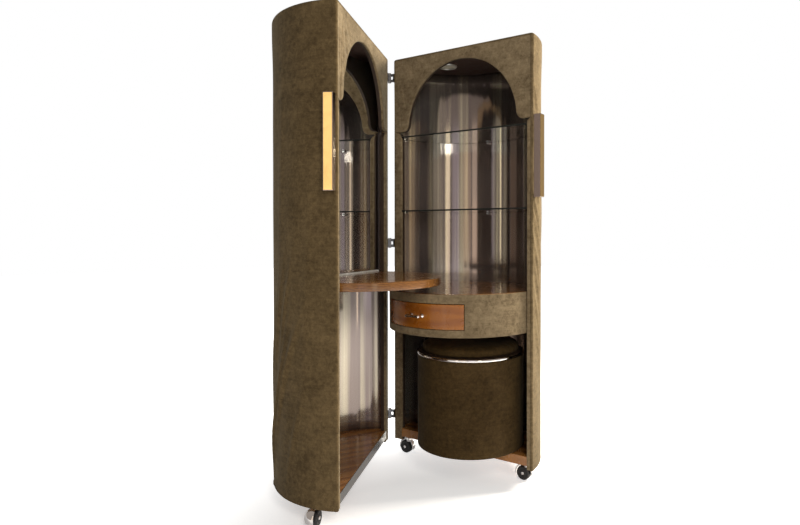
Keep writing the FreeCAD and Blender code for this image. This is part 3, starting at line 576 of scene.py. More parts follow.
@once
def veneer(name, light, dark, turn, lines, gloss=0.13):
    """Lacquered veneer whose figure runs along the turned X direction. Turn is an angle in
    plan, or three angles for a figure that runs level round an upright face."""
    finish, tree, surface, place = shader(name)
    figure = use_group(tree, "Veneer figure", {
        "Vector": place, "Light": opaque(light), "Dark": opaque(dark),
        "Turn": turn if isinstance(turn, tuple) else (0, 0, turn), "Line scale": lines})
    feed(tree, surface, {
        "Base Color": figure["Color"],
        "Roughness": marks(tree, place, gloss, gloss + 0.2)["Roughness"], "Coat Weight": 0.3,
        "Coat Roughness": 0.06,
        "Normal": bump(tree, figure["Height"], strength=0.12, distance=0.0003)})
    return finish


@once
def metal(name, colour, clear, dull, scratch=0.015):
    """Polished metal with handling marks."""
    finish, tree, surface, place = shader(name)
    worn = marks(tree, place, clear, dull)
    feed(tree, surface, {
        "Base Color": opaque(colour), "Metallic": 1.0, "Roughness": worn["Roughness"],
        "Normal": bump(tree, worn["Height"], scratch, distance=0.0002)})
    return finish


@once
def lining_metal(name):
    """Polished sheet with upright streaks and painted reflection bands, for the linings."""
    finish, tree, surface, place = shader(name)
    steel = colours().steel
    streak = use_group(tree, "Upright streaks and painted reflections", {
        "Vector": place, "Light": opaque(steel, 1.1),
        "Dark": (steel[0] * 0.42, steel[1] * 0.38, steel[2] * 0.48, 1.0)})
    feed(tree, surface, {
        "Base Color": streak["Color"], "Roughness": streak["Roughness"], "Metallic": 0.82,
        "Normal": bump(tree, streak["Height"], strength=0.2, distance=0.0015)})
    return finish


@once
def plain(name, colour, roughness, speck=0.0):
    """A plain moulded, painted or rubber finish with slight unevenness."""
    finish, tree, surface, place = shader(name)
    clouds = noise(tree, place, 40.0, 4.0, 0.6)
    shade = remap(tree, clouds, 0.3, 0.7, 0.0, 1.0)
    feed(tree, surface, {
        "Base Color": mix_colour(tree, shade, opaque(colour, 0.8), opaque(colour, 1.15)),
        "Roughness": remap(tree, clouds, 0.3, 0.7, roughness, min(1.0, roughness + 0.15)),
        "Normal": bump(tree, noise(tree, place, 1400.0, 2.0), strength=0.1 + speck,
                       distance=0.0002)})
    return finish


@once
def glass(name):
    """Clear float glass."""
    finish, tree, surface, place = shader(name)
    feed(tree, surface, {
        "Base Color": (0.88, 0.95, 0.92, 1.0), "Transmission Weight": 1.0, "IOR": 1.5,
        "Roughness": marks(tree, place, 0.0, 0.03)["Roughness"]})
    return finish


@once
def mirror_silver(name):
    """Silvered glass with a faint green cast."""
    finish, tree, surface, place = shader(name)
    feed(tree, surface, {
        "Base Color": (0.86, 0.88, 0.86, 1.0), "Metallic": 1.0,
        "Roughness": marks(tree, place, 0.0, 0.04)["Roughness"]})
    return finish


def board_finish(name, factor, turn=0.0):
    """Brown satin veneer for the floor boards, the drawer box and the mirror's back."""
    colour = colours()
    return veneer(name, tuple(value * 0.75 * factor for value in colour.veneer_light),
                  tuple(value * 1.5 * factor for value in colour.veneer_dark), turn, 6.0,
                  0.16)


def lipping():
    """Edge veneer, whose figure runs level round the board."""
    return veneer("Edge veneer", tuple(0.8 * value for value in colours().veneer_light),
                  colours().veneer_dark, LEVEL, 60.0)


def frame_paint_and_shade():
    """Matt dark brown, for the frames behind the pads and the supports under the boards: partly the
    wood's own brown, partly painted shade for the shaded throats and undersides.
    """
    return plain("Frame paint", (0.030, 0.016, 0.009), 0.6)


def handle_metal():
    """Warm polished metal, for the handles."""
    return metal("Warm steel", (0.48, 0.39, 0.35), 0.12, 0.22)


def chrome():
    """Bright chrome."""
    return metal("Chrome", (0.80, 0.78, 0.78), 0.07, 0.13)


def plywood():
    """Pale plywood, mostly hidden."""
    return veneer("Plywood", (0.42, 0.27, 0.14), (0.26, 0.15, 0.07), 0.0, 22.0, 0.5)


# Suede covers

def wall_path():
    """The plan of the outer suede as (across, back), from the front seam on the hinge side,
    round a small corner, round the half-circle and back to the other seam. Each corner arc
    touches both the front plane and the big circle."""
    rounding = sizes().corner_rounding
    reach = RADIUS - rounding - 0.0004
    lift = SKIN_FRONT + rounding
    offset = math.sqrt(reach ** 2 - lift ** 2)
    lean = math.atan2(lift, offset)
    flat = np.array([[MIDDLE - offset + 0.004, SKIN_FRONT],
                     [MIDDLE - offset + 0.002, SKIN_FRONT]])
    corner = arc((MIDDLE - offset, lift), rounding, -math.pi / 2, -math.pi - lean, 9)
    wall = arc((MIDDLE, 0), reach + rounding, math.pi - lean, lean, 161)[1:-1]
    first = np.concatenate([flat, corner])
    last = first[::-1] * (-1, 1) + (2 * MIDDLE, 0)
    return np.concatenate([first, wall, last])


def shrink(plan, inset, middle):
    """A plan moved towards its middle by the inset over the cabinet's radius."""
    return middle + (plan - middle) * (1 - inset / RADIUS)


OUTER_FOLDS = {
    "left": [(0.205, 0.47, 1.95, 0.15, 0.008, 2.2), (0.250, 0.36, 1.90, 0.20, 0.009, 2.5),
             (0.300, 0.30, 1.86, 0.22, 0.010, 2.7), (0.235, 0.62, 1.80, 0.14, 0.008, 1.7),
             (0.285, 0.58, 1.78, 0.16, 0.009, 2.0), (0.330, 0.50, 1.80, 0.20, 0.011, 2.0),
             (0.180, 0.22, 1.85, 0.12, 0.010, 1.4), (0.340, 0.15, 1.75, 0.14, 0.012, 1.7),
             (0.120, 0.70, 1.62, 0.30, 0.020, 1.0), (0.260, 1.05, 1.60, 0.30, 0.020, 1.0),
             (0.60, 0.50, 1.75, 0.30, 0.018, 1.5), (0.80, 0.70, 1.60, 0.34, 0.020, 1.4)],
    "right": [(0.040, 1.38, 1.90, 0.07, 0.007, 1.6), (0.055, 1.03, 2.10, 0.08, 0.007, 2.0),
              (0.050, 0.95, 2.05, 0.10, 0.007, 2.1), (0.060, 0.86, 2.00, 0.11, 0.008, 2.2),
              (0.055, 0.76, 1.95, 0.11, 0.008, 2.1), (0.065, 0.66, 1.92, 0.12, 0.008, 2.0),
              (0.060, 0.56, 1.88, 0.12, 0.008, 1.8), (0.070, 0.44, 1.85, 0.14, 0.010, 1.3),
              (0.20, 0.85, 1.90, 0.20, 0.014, 1.1), (0.30, 0.60, 1.80, 0.26, 0.016, 1.0),
              (0.45, 0.45, 1.65, 0.30, 0.018, 0.9), (0.65, 0.70, 1.50, 0.30, 0.018, 0.9),
              (0.85, 0.50, 1.40, 0.30, 0.018, 0.8)],
}


def cover_skin(half):
    """The outer suede: the wall's plan carried up its height, pulled in under the hem and
    over the rounded top, and then drawn to the middle as a flat cap. The folds push the wall
    along its own radius by their height. The hem also stands back from the front, so that the
    two halves' hems clear each other when the cabinet is closed."""
    plan = wall_path()
    middle = np.array([MIDDLE, RADIUS * 0.4])
    rounding = sizes().top_rounding
    skin = Skin()
    hem = [(0.005, 0.0035), (0.0025, 0.0008), (0.0006, 0.0002), (0.0, 0.003)]
    levels = 170
    heights = np.concatenate([[BASE + rise for inset, rise in hem],
                              np.linspace(BASE + 0.012, TOP - rounding, levels)])
    insets = np.concatenate([[inset for inset, rise in hem], np.zeros(levels)])
    step = np.linalg.norm(np.diff(plan, axis=0), axis=1)
    run = np.concatenate([[0], np.cumsum(step)])
    run = run[-1] - run
    height = heights[:, None]
    folds = creases(run[None], height - BASE, OUTER_FOLDS[half.side])
    swell = ripple(run[None], height, SEEDS["outer"][half.side], scale=0.30, height=0.4)
    ease = (gauss(height - TOP, 0.10) - 1) ** 2
    edge = 1 - gauss(np.minimum(run, run[::-1])[None], 0.014)
    push = sizes().fold_height * (folds + swell - 1.0) * ease * edge
    rows = np.stack([shrink(plan, inset, middle) + (0, 0.5 * inset) for inset in insets])
    out = rows - (MIDDLE, 0)
    rows = rows + out / np.linalg.norm(out, axis=2, keepdims=True) * push[..., None]
    wall = np.dstack([rows, np.repeat(height, len(plan), 1)])
    skin.add(half.place(wall))
    front_line = np.stack([np.linspace(plan[-1][0], plan[0][0], 42)[1:-1],
                           np.full(40, SKIN_FRONT)], 1)
    loop = np.concatenate([plan, front_line])
    turn = np.linspace(0, math.pi / 2, 7)
    cap = [(rounding * (1 - math.cos(angle)), TOP - rounding + rounding * math.sin(angle))
           for angle in turn]
    cap_rows = [np.column_stack([shrink(loop, inset, middle), np.full(len(loop), rise)])
                for inset, rise in cap]
    flat = shrink(loop, rounding, middle)
    for share in (0.97, 0.9, 0.75, 0.5, 0.25, 0.0):
        cap_rows.append(np.column_stack([middle + (flat - middle) * share,
                                         np.full(len(loop), TOP)]))
    skin.add(half.place(np.stack(cap_rows)), wrap=True)
    return skin


class CABINET_OT_outer_suede(bpy.types.Operator):
    """Covers the round walls and the tops of both halves in suede"""
    bl_idname = "cabinet.outer_suede"
    bl_label = "Outer suede"

    def execute(self, context):
        # Both outer suedes are darker copies of the one suede, painted shade; the left half's is
        # darker still, painted shade on the side that the key doesn't reach.
        for half, finish in ((RIGHT, suede("Outer suede", 0.82, 7.0, 0.85)),
                             (LEFT, suede("Shaded outer suede", 0.64, 7.0, 0.72))):
            inside = half.place((MIDDLE, RADIUS / 2, TOP / 2))
            piece = make(half.side + "_outer_suede", cover_skin(half), half.body, [finish],
                         away=inside, sharp=CLOTH_SHARP,
                         replaces=(half.side + "_outer_cover",))
            solidify(piece, COVER_THICK)
        return {"FINISHED"}


def pad_seam():
    """How far across the outer suede ends on the front, on the hinge side."""
    return wall_path()[0][0]


# How deep a pad's return reaches and where it starts, the rounding of its inner edge, and
# how far it stands past the frame's edge into the opening.
WRAP = 0.009
WRAP_START = 0.0075
PAD_EDGE = 0.005
PAD_INSET = 0.0008


def stile_section(inner, outward):
    """The plan of a stile's pad: a small roll at the seam, the front, a rounded inner edge
    and a short return along the inside of the stile. Outward is +1 on the outer stile and -1
    on the hinge stile."""
    seam = pad_seam() if outward < 0 else 2 * MIDDLE - pad_seam()
    inner = inner - PAD_INSET * outward
    roll = 0.0020
    start = arc((0, roll), roll, 0, -math.pi / 2, 4)
    start = np.stack([seam - outward * roll + outward * start[:, 0],
                      SKIN_FRONT + start[:, 1]], 1)
    face = np.stack([np.linspace(seam - outward * 0.003,
                                 inner + outward * (PAD_EDGE + 0.001), 14),
                     np.full(14, SKIN_FRONT)], 1)
    turn = np.linspace(-math.pi / 2, -math.pi, 7)
    bend = np.stack([inner + outward * (PAD_EDGE + PAD_EDGE * np.cos(turn)),
                     SKIN_FRONT + PAD_EDGE + PAD_EDGE * np.sin(turn)], 1)
    back = np.stack([np.full(2, inner), SKIN_FRONT + np.array([WRAP_START, WRAP])], 1)
    return np.concatenate([start, face, bend, back])


def stile_skin(half, inner, outward, folds):
    """A stile's pad: its plan carried up the stile, drawn in at both ends, with small creases.
    Up its rounded head the inner edge moves out to the seam: by r - sqrt(r^2 - u^2) at a rise
    u above the rounding's start, shared out over the width."""
    plan = stile_section(inner, outward)
    seam = plan[0, 0]
    seed = SEEDS["stile"][half.side] + outward
    size = sizes()
    rounding = size.hinge_stile_rounding if outward < 0 else size.outer_stile_rounding
    top = FOOT - 0.0012
    levels = 120
    head = top - rounding * (1 - np.cos(np.linspace(math.pi / 2, 0, 22)))
    heights = np.concatenate([BASE + 0.001 + np.array([0.0, 0.0008, 0.0025, 0.005]),
                              np.linspace(BASE + 0.02, top - rounding - 0.004, levels), head])
    pull = np.concatenate([[0.004, 0.0015, 0.0005, 0], np.zeros(levels + len(head))])
    width = np.abs(plan[:, 0] - inner)[None]
    height = heights[:, None]
    climb = np.clip(height - (top - rounding), 0, rounding)
    shift = rounding - np.sqrt(rounding ** 2 - climb ** 2)
    room = abs(seam - inner)
    shift = np.minimum(shift, room - 0.0003) * np.clip(1 - width / room, 0, 1)
    front_share = np.clip(1 - (plan[:, 1] - plan[:, 1].min()) / PAD_EDGE, 0, 1)[None]
    push = creases(width, height - BASE, folds) * 0.0016
    push = push + ripple(width, height, seed, scale=0.12, height=0.0006) + 0.0003
    calm = np.clip((top - height) / 0.02, 0.2, 1)
    grid = np.zeros((len(heights), len(plan), 3))
    grid[..., 0] = plan[None, :, 0] + outward * shift
    grid[..., 1] = plan[None, :, 1] + (pull[:, None]
                                       + np.maximum(-0.0006, push) * calm) * front_share
    grid[..., 2] = height
    return Skin().add(half.place(grid))


def arch_paths():
    """The arch pad's two edges, as matching points (across, height). The inner one runs along
    the foot's underside, round a corner that touches both the foot and the arch, over the
    arch and down again. The outer one is the seam round the pad; it shares the inner one's
    length in parts, so that the corners of both meet."""
    size = sizes()
    middle = OPEN_MIDDLE - size.arch_shift
    rounding, radius = size.foot_rounding, size.arch_radius
    spring = FOOT + 0.008
    rise = FOOT + rounding - spring
    lean = math.asin(rise / (radius + rounding))
    reach = math.sqrt((radius + rounding) ** 2 - rise ** 2)
    left, right = pad_seam(), 2 * MIDDLE - pad_seam()
    top = TOP - size.top_rounding
    angle = np.linspace(-math.pi / 2, -lean, 16)
    corner = rounding * np.stack([np.cos(angle), np.sin(angle)], 1)
    over = arc((middle, spring), radius, math.pi - lean, lean, 141)[1:-1]

    def foot(edge, sign):
        heart = middle + sign * reach
        under = np.stack([np.linspace(edge, heart, 12)[:-1], np.full(11, FOOT)], 1)
        return np.concatenate([under, corner * (-sign, 1) + (heart, FOOT + rounding)])

    inner = np.concatenate([foot(left, -1), over, foot(right, 1)[::-1]])
    count = len(inner)
    share = np.linspace(-1, 1, count)
    bend = 0.36
    foot_points = 27
    touch = 1 - 2 * foot_points / count
    up = np.interp(np.abs(share), [0, bend, touch, 1], [top, top, FOOT + 0.075, FOOT])
    across = np.interp(share, [-1, -bend, bend, 1], [left, left, right, right])
    return inner, np.stack([across, up], 1)


def arch_skin(half, folds):
    """The arch's pad: each point of the inner edge is carried a little way into the throat,
    round the edge, and then straight to the matching point of the seam, with creases."""
    inner, outer = arch_paths()
    tangent = np.gradient(inner, axis=0)
    tangent /= np.linalg.norm(tangent, axis=1, keepdims=True)
    inward = np.stack([-tangent[:, 1], tangent[:, 0]], 1)
    length = np.linalg.norm(outer - inner, axis=1, keepdims=True)
    scale = np.clip(length / 0.02, 0.02, 1)

    def row(path, depth):
        return np.column_stack([path, np.full(len(path), SKIN_FRONT + depth)])

    rows = [row(inner - inward * PAD_INSET, depth) for depth in (WRAP, WRAP_START)]
    for angle in np.linspace(math.pi, math.pi / 2, 7):
        offset = PAD_EDGE + PAD_EDGE * math.cos(angle) - PAD_INSET
        rows.append(row(inner + inward * offset * scale, PAD_EDGE - PAD_EDGE * math.sin(angle)))
    start = inner + inward * (PAD_EDGE - PAD_INSET) * scale
    rows += [row(start + (outer - start) * share, 0) for share in np.linspace(0, 1, 40)[1:]]
    rows.append(row(outer, 0.0025))
    grid = np.stack(rows)
    across, height, back = grid[..., 0], grid[..., 1], grid[..., 2]
    face = np.clip(1 - (back - SKIN_FRONT) / 0.004, 0, 1)
    rim = 1 - gauss(np.linalg.norm(grid[..., :2] - outer[None], axis=2), 0.006)
    push = creases(across, height, folds) * 0.0028
    push = push + ripple(across, height, SEEDS["arch"][half.side], scale=0.13,
                         height=0.0008) + 0.0004
    back = back + np.maximum(push, -0.0008) * face * rim
    return Skin().add(half.place(np.stack([across, back, height], -1)))


ARCH_FOLDS = {
    "left": [(0.652, 1.52, 1.50, 0.09, 0.006, 2.2), (0.630, 1.55, 1.66, 0.07, 0.006, 2.0),
             (0.610, 1.50, 1.42, 0.08, 0.006, 1.7), (0.590, 1.58, 1.30, 0.05, 0.007, 1.4),
             (0.560, 1.62, 0.90, 0.05, 0.007, 1.0), (0.642, 1.42, 1.68, 0.05, 0.005, 1.8),
             (0.070, 1.45, 1.60, 0.06, 0.006, 0.6), (0.090, 1.56, 1.85, 0.06, 0.007, 0.5)],
    "right": [(0.080, 1.52, 1.75, 0.07, 0.007, 0.6), (0.060, 1.44, 1.60, 0.06, 0.006, 0.6),
              (0.150, 1.61, 2.40, 0.06, 0.008, 0.5), (0.620, 1.55, 1.35, 0.07, 0.007, 0.6),
              (0.645, 1.45, 1.50, 0.06, 0.006, 0.6), (0.540, 1.62, 0.75, 0.06, 0.008, 0.5)],
}
STILE_FOLDS = {
    "left": [(0.010, 1.142, 0.30, 0.012, 0.0028, 1.3), (0.013, 1.128, 0.40, 0.012, 0.0026, 1.2),
             (0.009, 1.108, 0.25, 0.010, 0.0030, 0.8), (0.020, 0.55, 1.40, 0.09, 0.006, 0.6),
             (0.014, 1.20, 1.50, 0.05, 0.005, 0.7), (0.020, 0.30, 1.60, 0.10, 0.006, 0.6)],
    "right": [(0.016, 1.05, 1.45, 0.06, 0.005, 0.6), (0.020, 0.62, 1.65, 0.09, 0.006, 0.6),
              (0.012, 0.85, 1.50, 0.07, 0.005, 0.5), (0.018, 0.32, 1.60, 0.10, 0.006, 0.6)],
}


class CABINET_OT_face_pads(bpy.types.Operator):
    """Pads the arches and the uprights beside both openings"""
    bl_idname = "cabinet.face_pads"
    bl_label = "Face pads"

    def execute(self, context):
        # The face suede is a lighter copy of the one suede: painted light on the lit faces.
        finish = suede("Face suede", 1.2, 8.0)
        for half in HALVES:
            behind = half.place((MIDDLE, RADIUS, TOP / 2))
            arch = make(half.side + "_arch_pad", arch_skin(half, ARCH_FOLDS[half.side]),
                        half.body, [finish], away=behind, sharp=CLOTH_SHARP,
                        replaces=(half.side + "_face_covers",))
            solidify(arch, 0.002)
            for name, inner, outward in (("hinge", OPEN_START, -1), ("outer", OPEN_END, 1)):
                pad = make(f"{half.side}_{name}_stile_pad",
                           stile_skin(half, inner, outward, STILE_FOLDS[half.side]),
                           half.body, [finish], away=behind, sharp=CLOTH_SHARP)
                solidify(pad, 0.002)
        return {"FINISHED"}


# Linings and carcass

def lining_skin(half):
    """The polished lining: a half-cylinder whose radius wavers by a few tenths of a
    millimetre round the half, as rolled sheet does, the same at every height."""
    low, high = half.extent(half.side + "_lining")
    radius = (high[0] - low[0]) / 2 - 0.0014
    start = math.asin(low[1] / radius) + 0.002
    angle = np.linspace(start, math.pi - start, 241)[None]
    height = np.linspace(low[2] + 0.0006, high[2] - 0.0006, 40)[:, None]
    waver = 0.00016 * np.sin(angle * 23 + 1.1) + 0.00012 * np.sin(angle * 41 + 2.3)
    waver = waver + 0.00006 * np.sin(angle * 67 + 0.7 + height * 0.8)
    reach = radius - 0.0004 + waver + 0 * height
    grid = np.stack([MIDDLE + reach * np.cos(angle), reach * np.sin(angle),
                     height + 0 * angle], -1)
    return Skin().add(half.place(grid))


class CABINET_OT_carcass(bpy.types.Operator):
    """Lines both halves with polished metal and finishes walls, boards and frames"""
    bl_idname = "cabinet.carcass"
    bl_label = "Linings and carcass"

    def execute(self, context):
        for half in HALVES:
            side = half.side
            heart = half.place((MIDDLE, 0.02, TOP / 2))
            sheet = lining_metal("Streaked lining")
            lining = make(side + "_metal_lining", lining_skin(half), half.body, [sheet],
                          facing=heart, sharp=CLOTH_SHARP,
                          replaces=(side + "_lining",))
            solidify(lining, LINING_THICK)
            board = board_finish("Floor veneer " + side, 1.3, half.angle())
            softened(side + "_floor_board", side + "_bottom_board", half.body, board,
                     0.0015)
            paint_node(side + "_shell_wall", plywood())
            paint_node(side + "_top_board", plain("Ceiling paint", (0.040, 0.017, 0.010), 0.65))
            # The stiles and the arch panel show in the throats and notches, near-black as painted
            # shade.
            paint_node(side + "_stiles", frame_paint_and_shade())
            paint_node(side + "_arch_panel", frame_paint_and_shade())
        softened("floor_metal_strip", "floor_edge_strip", LEFT.body,
                 metal("Strip steel", (0.42, 0.41, 0.39), 0.16, 0.34), 0.0005)
        return {"FINISHED"}


def paint_node(node, finish):
    """Gives a CAD node whose shape is right its finish."""
    mesh = frame["nodes"][node]
    mesh.data.materials.clear()
    mesh.data.materials.append(finish)


# Shelves, desk and table

def ray_outline(middle, limits):
    """A closed outline: along each ray from the middle, the nearest limit. A limit is a
    function of the ray's direction that gives its distance."""
    angle = np.linspace(0, 2 * math.pi, OUTLINE_POINTS, endpoint=False)
    heading = np.stack([np.cos(angle), np.sin(angle)], 1)
    reach = np.min([limit(heading) for limit in limits], axis=0)
    return middle + heading * reach[:, None]


def inside_circle(middle, centre, radius):
    """The limit that a circle sets: the positive root of the ray's quadratic."""
    off = np.asarray(middle) - np.asarray(centre)

    def limit(heading):
        along = heading @ off
        return -along + np.sqrt(np.maximum(along ** 2 - off @ off + radius ** 2, 0))
    return limit


def off_zero(step):
    """A ray's step along an axis, kept off zero so that it can divide."""
    return np.where(np.abs(step) < TINY, TINY, step)


def inside_line(middle, axis, place):
    """The limit that a straight edge sets, square to one axis at the given place."""
    def limit(heading):
        reach = (place - middle[axis]) / off_zero(heading[:, axis])
        return np.where(reach > 0, reach, FAR)
    return limit


def notch(middle, across, back, side):
    """The limit of a notch round a stile: rays that end in the notch stop at its edge."""
    def limit(heading):
        to_side = (across - middle[0]) / off_zero(heading[:, 0])
        to_back = (back - middle[1]) / off_zero(heading[:, 1])
        towards = (heading[:, 0] * side > 0) & (heading[:, 1] < 0)
        at_side = middle[1] + to_side * heading[:, 1]
        reach = np.where(at_side < back, to_side, to_back)
        return np.where(towards, np.maximum(reach, 0), FAR)
    return limit


def slab_skin(half, outline, middle, low, high, rounding):
    """A board: its outline, drawn in towards the middle at its rounded edges, with flat faces
    that close at the middle. The rounding is a quarter circle above and below. The faces have
    the first finish and the edge the second."""
    off = outline - middle
    reach = np.linalg.norm(off, axis=1, keepdims=True)

    def ring(inset, height, share=1):
        return np.column_stack([middle + off * (1 - inset / reach) * share,
                                np.full(len(off), height)])

    turn = np.linspace(0, math.pi / 2, 5)
    lower = [ring(rounding * (1 - math.sin(a)), low + rounding * (1 - math.cos(a))) for a in turn]
    upper = [ring(rounding * (1 - math.cos(a)), high - rounding * (1 - math.sin(a))) for a in turn]
    under = [ring(rounding, low, share) for share in (0.0, 0.5, 0.98)] + lower[:1]
    over = upper[-1:] + [ring(rounding, high, share) for share in (0.98, 0.5, 0.0)]
    skin = Skin()
    for rows, finish in ((under, 0), (lower + upper, 1), (over, 0)):
        skin.add(half.place(np.stack(rows)), wrap=True, finish=finish)
    return skin


class CABINET_OT_glass_shelves(bpy.types.Operator):
    """Sets two glass shelves on chrome studs"""
    bl_idname = "cabinet.glass_shelves"
    bl_label = "Glass shelves"

    def execute(self, context):
        middle = np.array([MIDDLE, RADIUS * 0.35])
        low, high = RIGHT.extent("upper_glass_shelf")
        radius = (high[0] - low[0]) / 2 + 0.0001
        reach = RIGHT.extent("right_stiles")[1][1]
        limits = [inside_circle(middle, (MIDDLE, 0), radius - 0.0003),
                  inside_line(middle, 1, low[1]),
                  notch(middle, OPEN_START + 0.001, reach + 0.001, -1),
                  notch(middle, OPEN_END - 0.001, reach + 0.001, 1)]
        outline = ray_outline(middle, limits)
        clear = glass("Clear glass")
        # The shelves' edges are an opaque near-black band: painted shade for the dark look of thick
        # glass seen edge-on.
        edge = plain("Glass edge", (0.003, 0.005, 0.004), 0.6)
        for node in ("upper_glass_shelf", "lower_glass_shelf"):
            low, high = RIGHT.extent(node)
            make(node + "_pane", slab_skin(RIGHT, outline, middle, low[2], high[2], 0.001),
                 RIGHT.body, [clear, edge], sharp=BOARD_SHARP, replaces=(node,))
        self.studs()
        return {"FINISHED"}

    def studs(self):
        """Each stud is a small turned peg, from a flange on the lining to a soft tip."""
        points = mesh_points("shelf_studs")
        heart = AXIS + MIDDLE * RIGHT.across
        off = points - heart
        angle = np.arctan2(off[:, 1], off[:, 0])
        skin = Skin()
        for level in np.unique(np.round(points[:, 2] * 10)):
            here = np.abs(points[:, 2] * 10 - level) < 0.5
            for place in np.unique(np.round(angle[here] * 5)):
                near = here & (np.abs(angle * 5 - place) < 0.5)
                add_stud(skin, heart, np.median(angle[near]), points[near][:, 2])
        make("shelf_pegs", skin, RIGHT.body, [chrome()], sharp=METAL_SHARP,
             replaces=("shelf_studs",))


def add_stud(skin, heart, angle, heights):
    """One peg along the ray at that angle, its axis in the middle of those heights."""
    radius = (heights.max() - heights.min()) / 2
    out = np.array([math.cos(angle), math.sin(angle), 0])
    wall = LINING_END - MIDDLE - 0.0028
    root = heart + out * wall + UP * (heights.max() + heights.min()) / 2
    profile = [(0, 0), (radius * 1.5, 0), (radius * 1.5, 0.0012), (radius * 1.1, 0.002),
               (radius * 0.98, 0.003), (radius * 0.98, 0.0115), (radius * 0.8, 0.0128), (0, 0.0132)]
    profile = [(min(across, radius), along) for across, along in profile]
    skin.turn(profile, root, 24, -out)


class CABINET_OT_ceiling_light(bpy.types.Operator):
    """Puts the round lamp in the right half's ceiling"""
    bl_idname = "cabinet.ceiling_light"
    bl_label = "Ceiling light"

    def execute(self, context):
        low, high = RIGHT.extent("ceiling_light_ring")
        centre = RIGHT.place(((low[0] + high[0]) / 2, (low[1] + high[1]) / 2, 0))
        outer = (high[0] - low[0]) / 2
        lens_low, lens_high = RIGHT.extent("ceiling_light_lens")
        bore = (lens_high[0] - lens_low[0]) / 2
        ring = [(bore, high[2]), (bore, low[2] + 0.002), (bore + 0.001, low[2] + 0.0004),
                (bore + 0.003, low[2]), (outer - 0.003, low[2] + 0.0008),
                (outer - 0.0008, low[2] + 0.003), (outer, high[2] - 0.001), (outer, high[2])]
        make("light_bezel", Skin().turn(ring + ring[:1], centre, 72), RIGHT.body,
             [metal("Satin steel", (0.50, 0.49, 0.47), 0.3, 0.5)], sharp=BOARD_SHARP,
             replaces=("ceiling_light_ring",))
        dome = [(0, lens_low[2] + 0.0002), (bore * 0.5, lens_low[2] + 0.0006),
                (bore * 0.85, lens_low[2] + 0.0016), (bore - 0.0003, lens_low[2] + 0.003),
                (bore - 0.0003, lens_high[2]), (0, lens_high[2])]
        make("light_lens_dome", Skin().turn(dome, centre, 72), RIGHT.body,
             [plain("Milk glass", (0.58, 0.55, 0.44), 0.4)], sharp=BOARD_SHARP,
             replaces=("ceiling_light_lens",))
        return {"FINISHED"}


def bow_centre():
    """The middle of the desk's bow in plan."""
    return np.array([OPEN_MIDDLE, sizes().bow_back])


def bow_turn(across):
    """The angle on the bow's circle at a place across the opening."""
    return math.acos((across - bow_centre()[0]) / sizes().bow_radius)


class CABINET_OT_desk(bpy.types.Operator):
    """Builds the bowed desk: veneered top, suede apron, and its supports"""
    bl_idname = "cabinet.desk"
    bl_label = "Desk"

    def execute(self, context):
        colour = colours()
        low, high = RIGHT.extent("desk_top")
        middle = np.array([OPEN_MIDDLE, 0.08])
        bow = inside_circle(middle, bow_centre(), sizes().bow_radius - 0.006)

        def ahead_of_bow(heading):
            reach = bow(heading)
            behind = middle[1] + reach * heading[:, 1] > sizes().bow_back
            return np.where(behind, FAR, reach)

        limits = [ahead_of_bow, inside_circle(middle, (MIDDLE, 0), high[1] - 0.0004),
                  inside_line(middle, 0, low[0]), inside_line(middle, 0, high[0])]
        outline = ray_outline(middle, limits)
        top = veneer("Red-brown veneer", colour.veneer_light, colour.veneer_dark, 0.35, 15.0)
        make("desk_board", slab_skin(RIGHT, outline, middle, low[2], high[2],
                                     sizes().edge_rounding), RIGHT.body, [top, lipping()],
             sharp=BOARD_SHARP, replaces=("desk_top",))
        self.apron()
        paint_node("apron_frame", plywood())
        paint_node("desk_supports", frame_paint_and_shade())
        return {"FINISHED"}

    def apron(self):
        """The suede round the bow: angle by height on the bow's circle, without the faces of
        the drawer's window, with slack puckers along its lower edge."""
        low, high = RIGHT.extent("apron_cover")
        front_low, front_high = RIGHT.extent("drawer_front")
        radius = sizes().bow_radius
        centre = bow_centre()
        gap = 0.0015
        window = (bow_turn(front_high[0] + gap), bow_turn(front_low[0] - gap))
        turn = through((0.002, *window, math.pi - 0.002), (30, 90, 30))
        bottom, top = front_low[2] - gap, front_high[2] + gap
        rise = through((low[2] + 0.0004, bottom, top, high[2] - 0.0004), (12, 30, 12))
        middle_turn = (turn[:-1] + turn[1:]) / 2
        middle_rise = (rise[:-1] + rise[1:]) / 2
        in_turn = (middle_turn > window[0]) & (middle_turn < window[1])
        in_rise = (middle_rise > bottom) & (middle_rise < top)
        keep = ~(in_rise[:, None] & in_turn[None])
        height = rise[:, None]
        run = turn[None] * radius
        ease = gauss(height - rise[0], 0.03) + gauss(height - rise[-1], 0.03)
        swell = ripple(run, height, SEEDS["apron"], scale=0.10, height=0.0007)
        reach = radius + swell * (1 - 0.5 * ease) - 0.0009
        grid = np.stack([centre[0] + reach * np.cos(turn), centre[1] - reach * np.sin(turn),
                         height + 0 * turn[None]], -1)
        # The apron suede is a lighter copy of the one suede: painted light.
        piece = make("apron_suede", Skin().add(RIGHT.place(grid), keep=keep), RIGHT.body,
                     [suede("Apron suede", 1.1, 8.0)],
                     away=RIGHT.place((centre[0], centre[1], height.mean())), sharp=BOARD_SHARP,
                     replaces=("apron_cover",))
        bevel(solidify(piece, APRON_THICK), 0.0018)


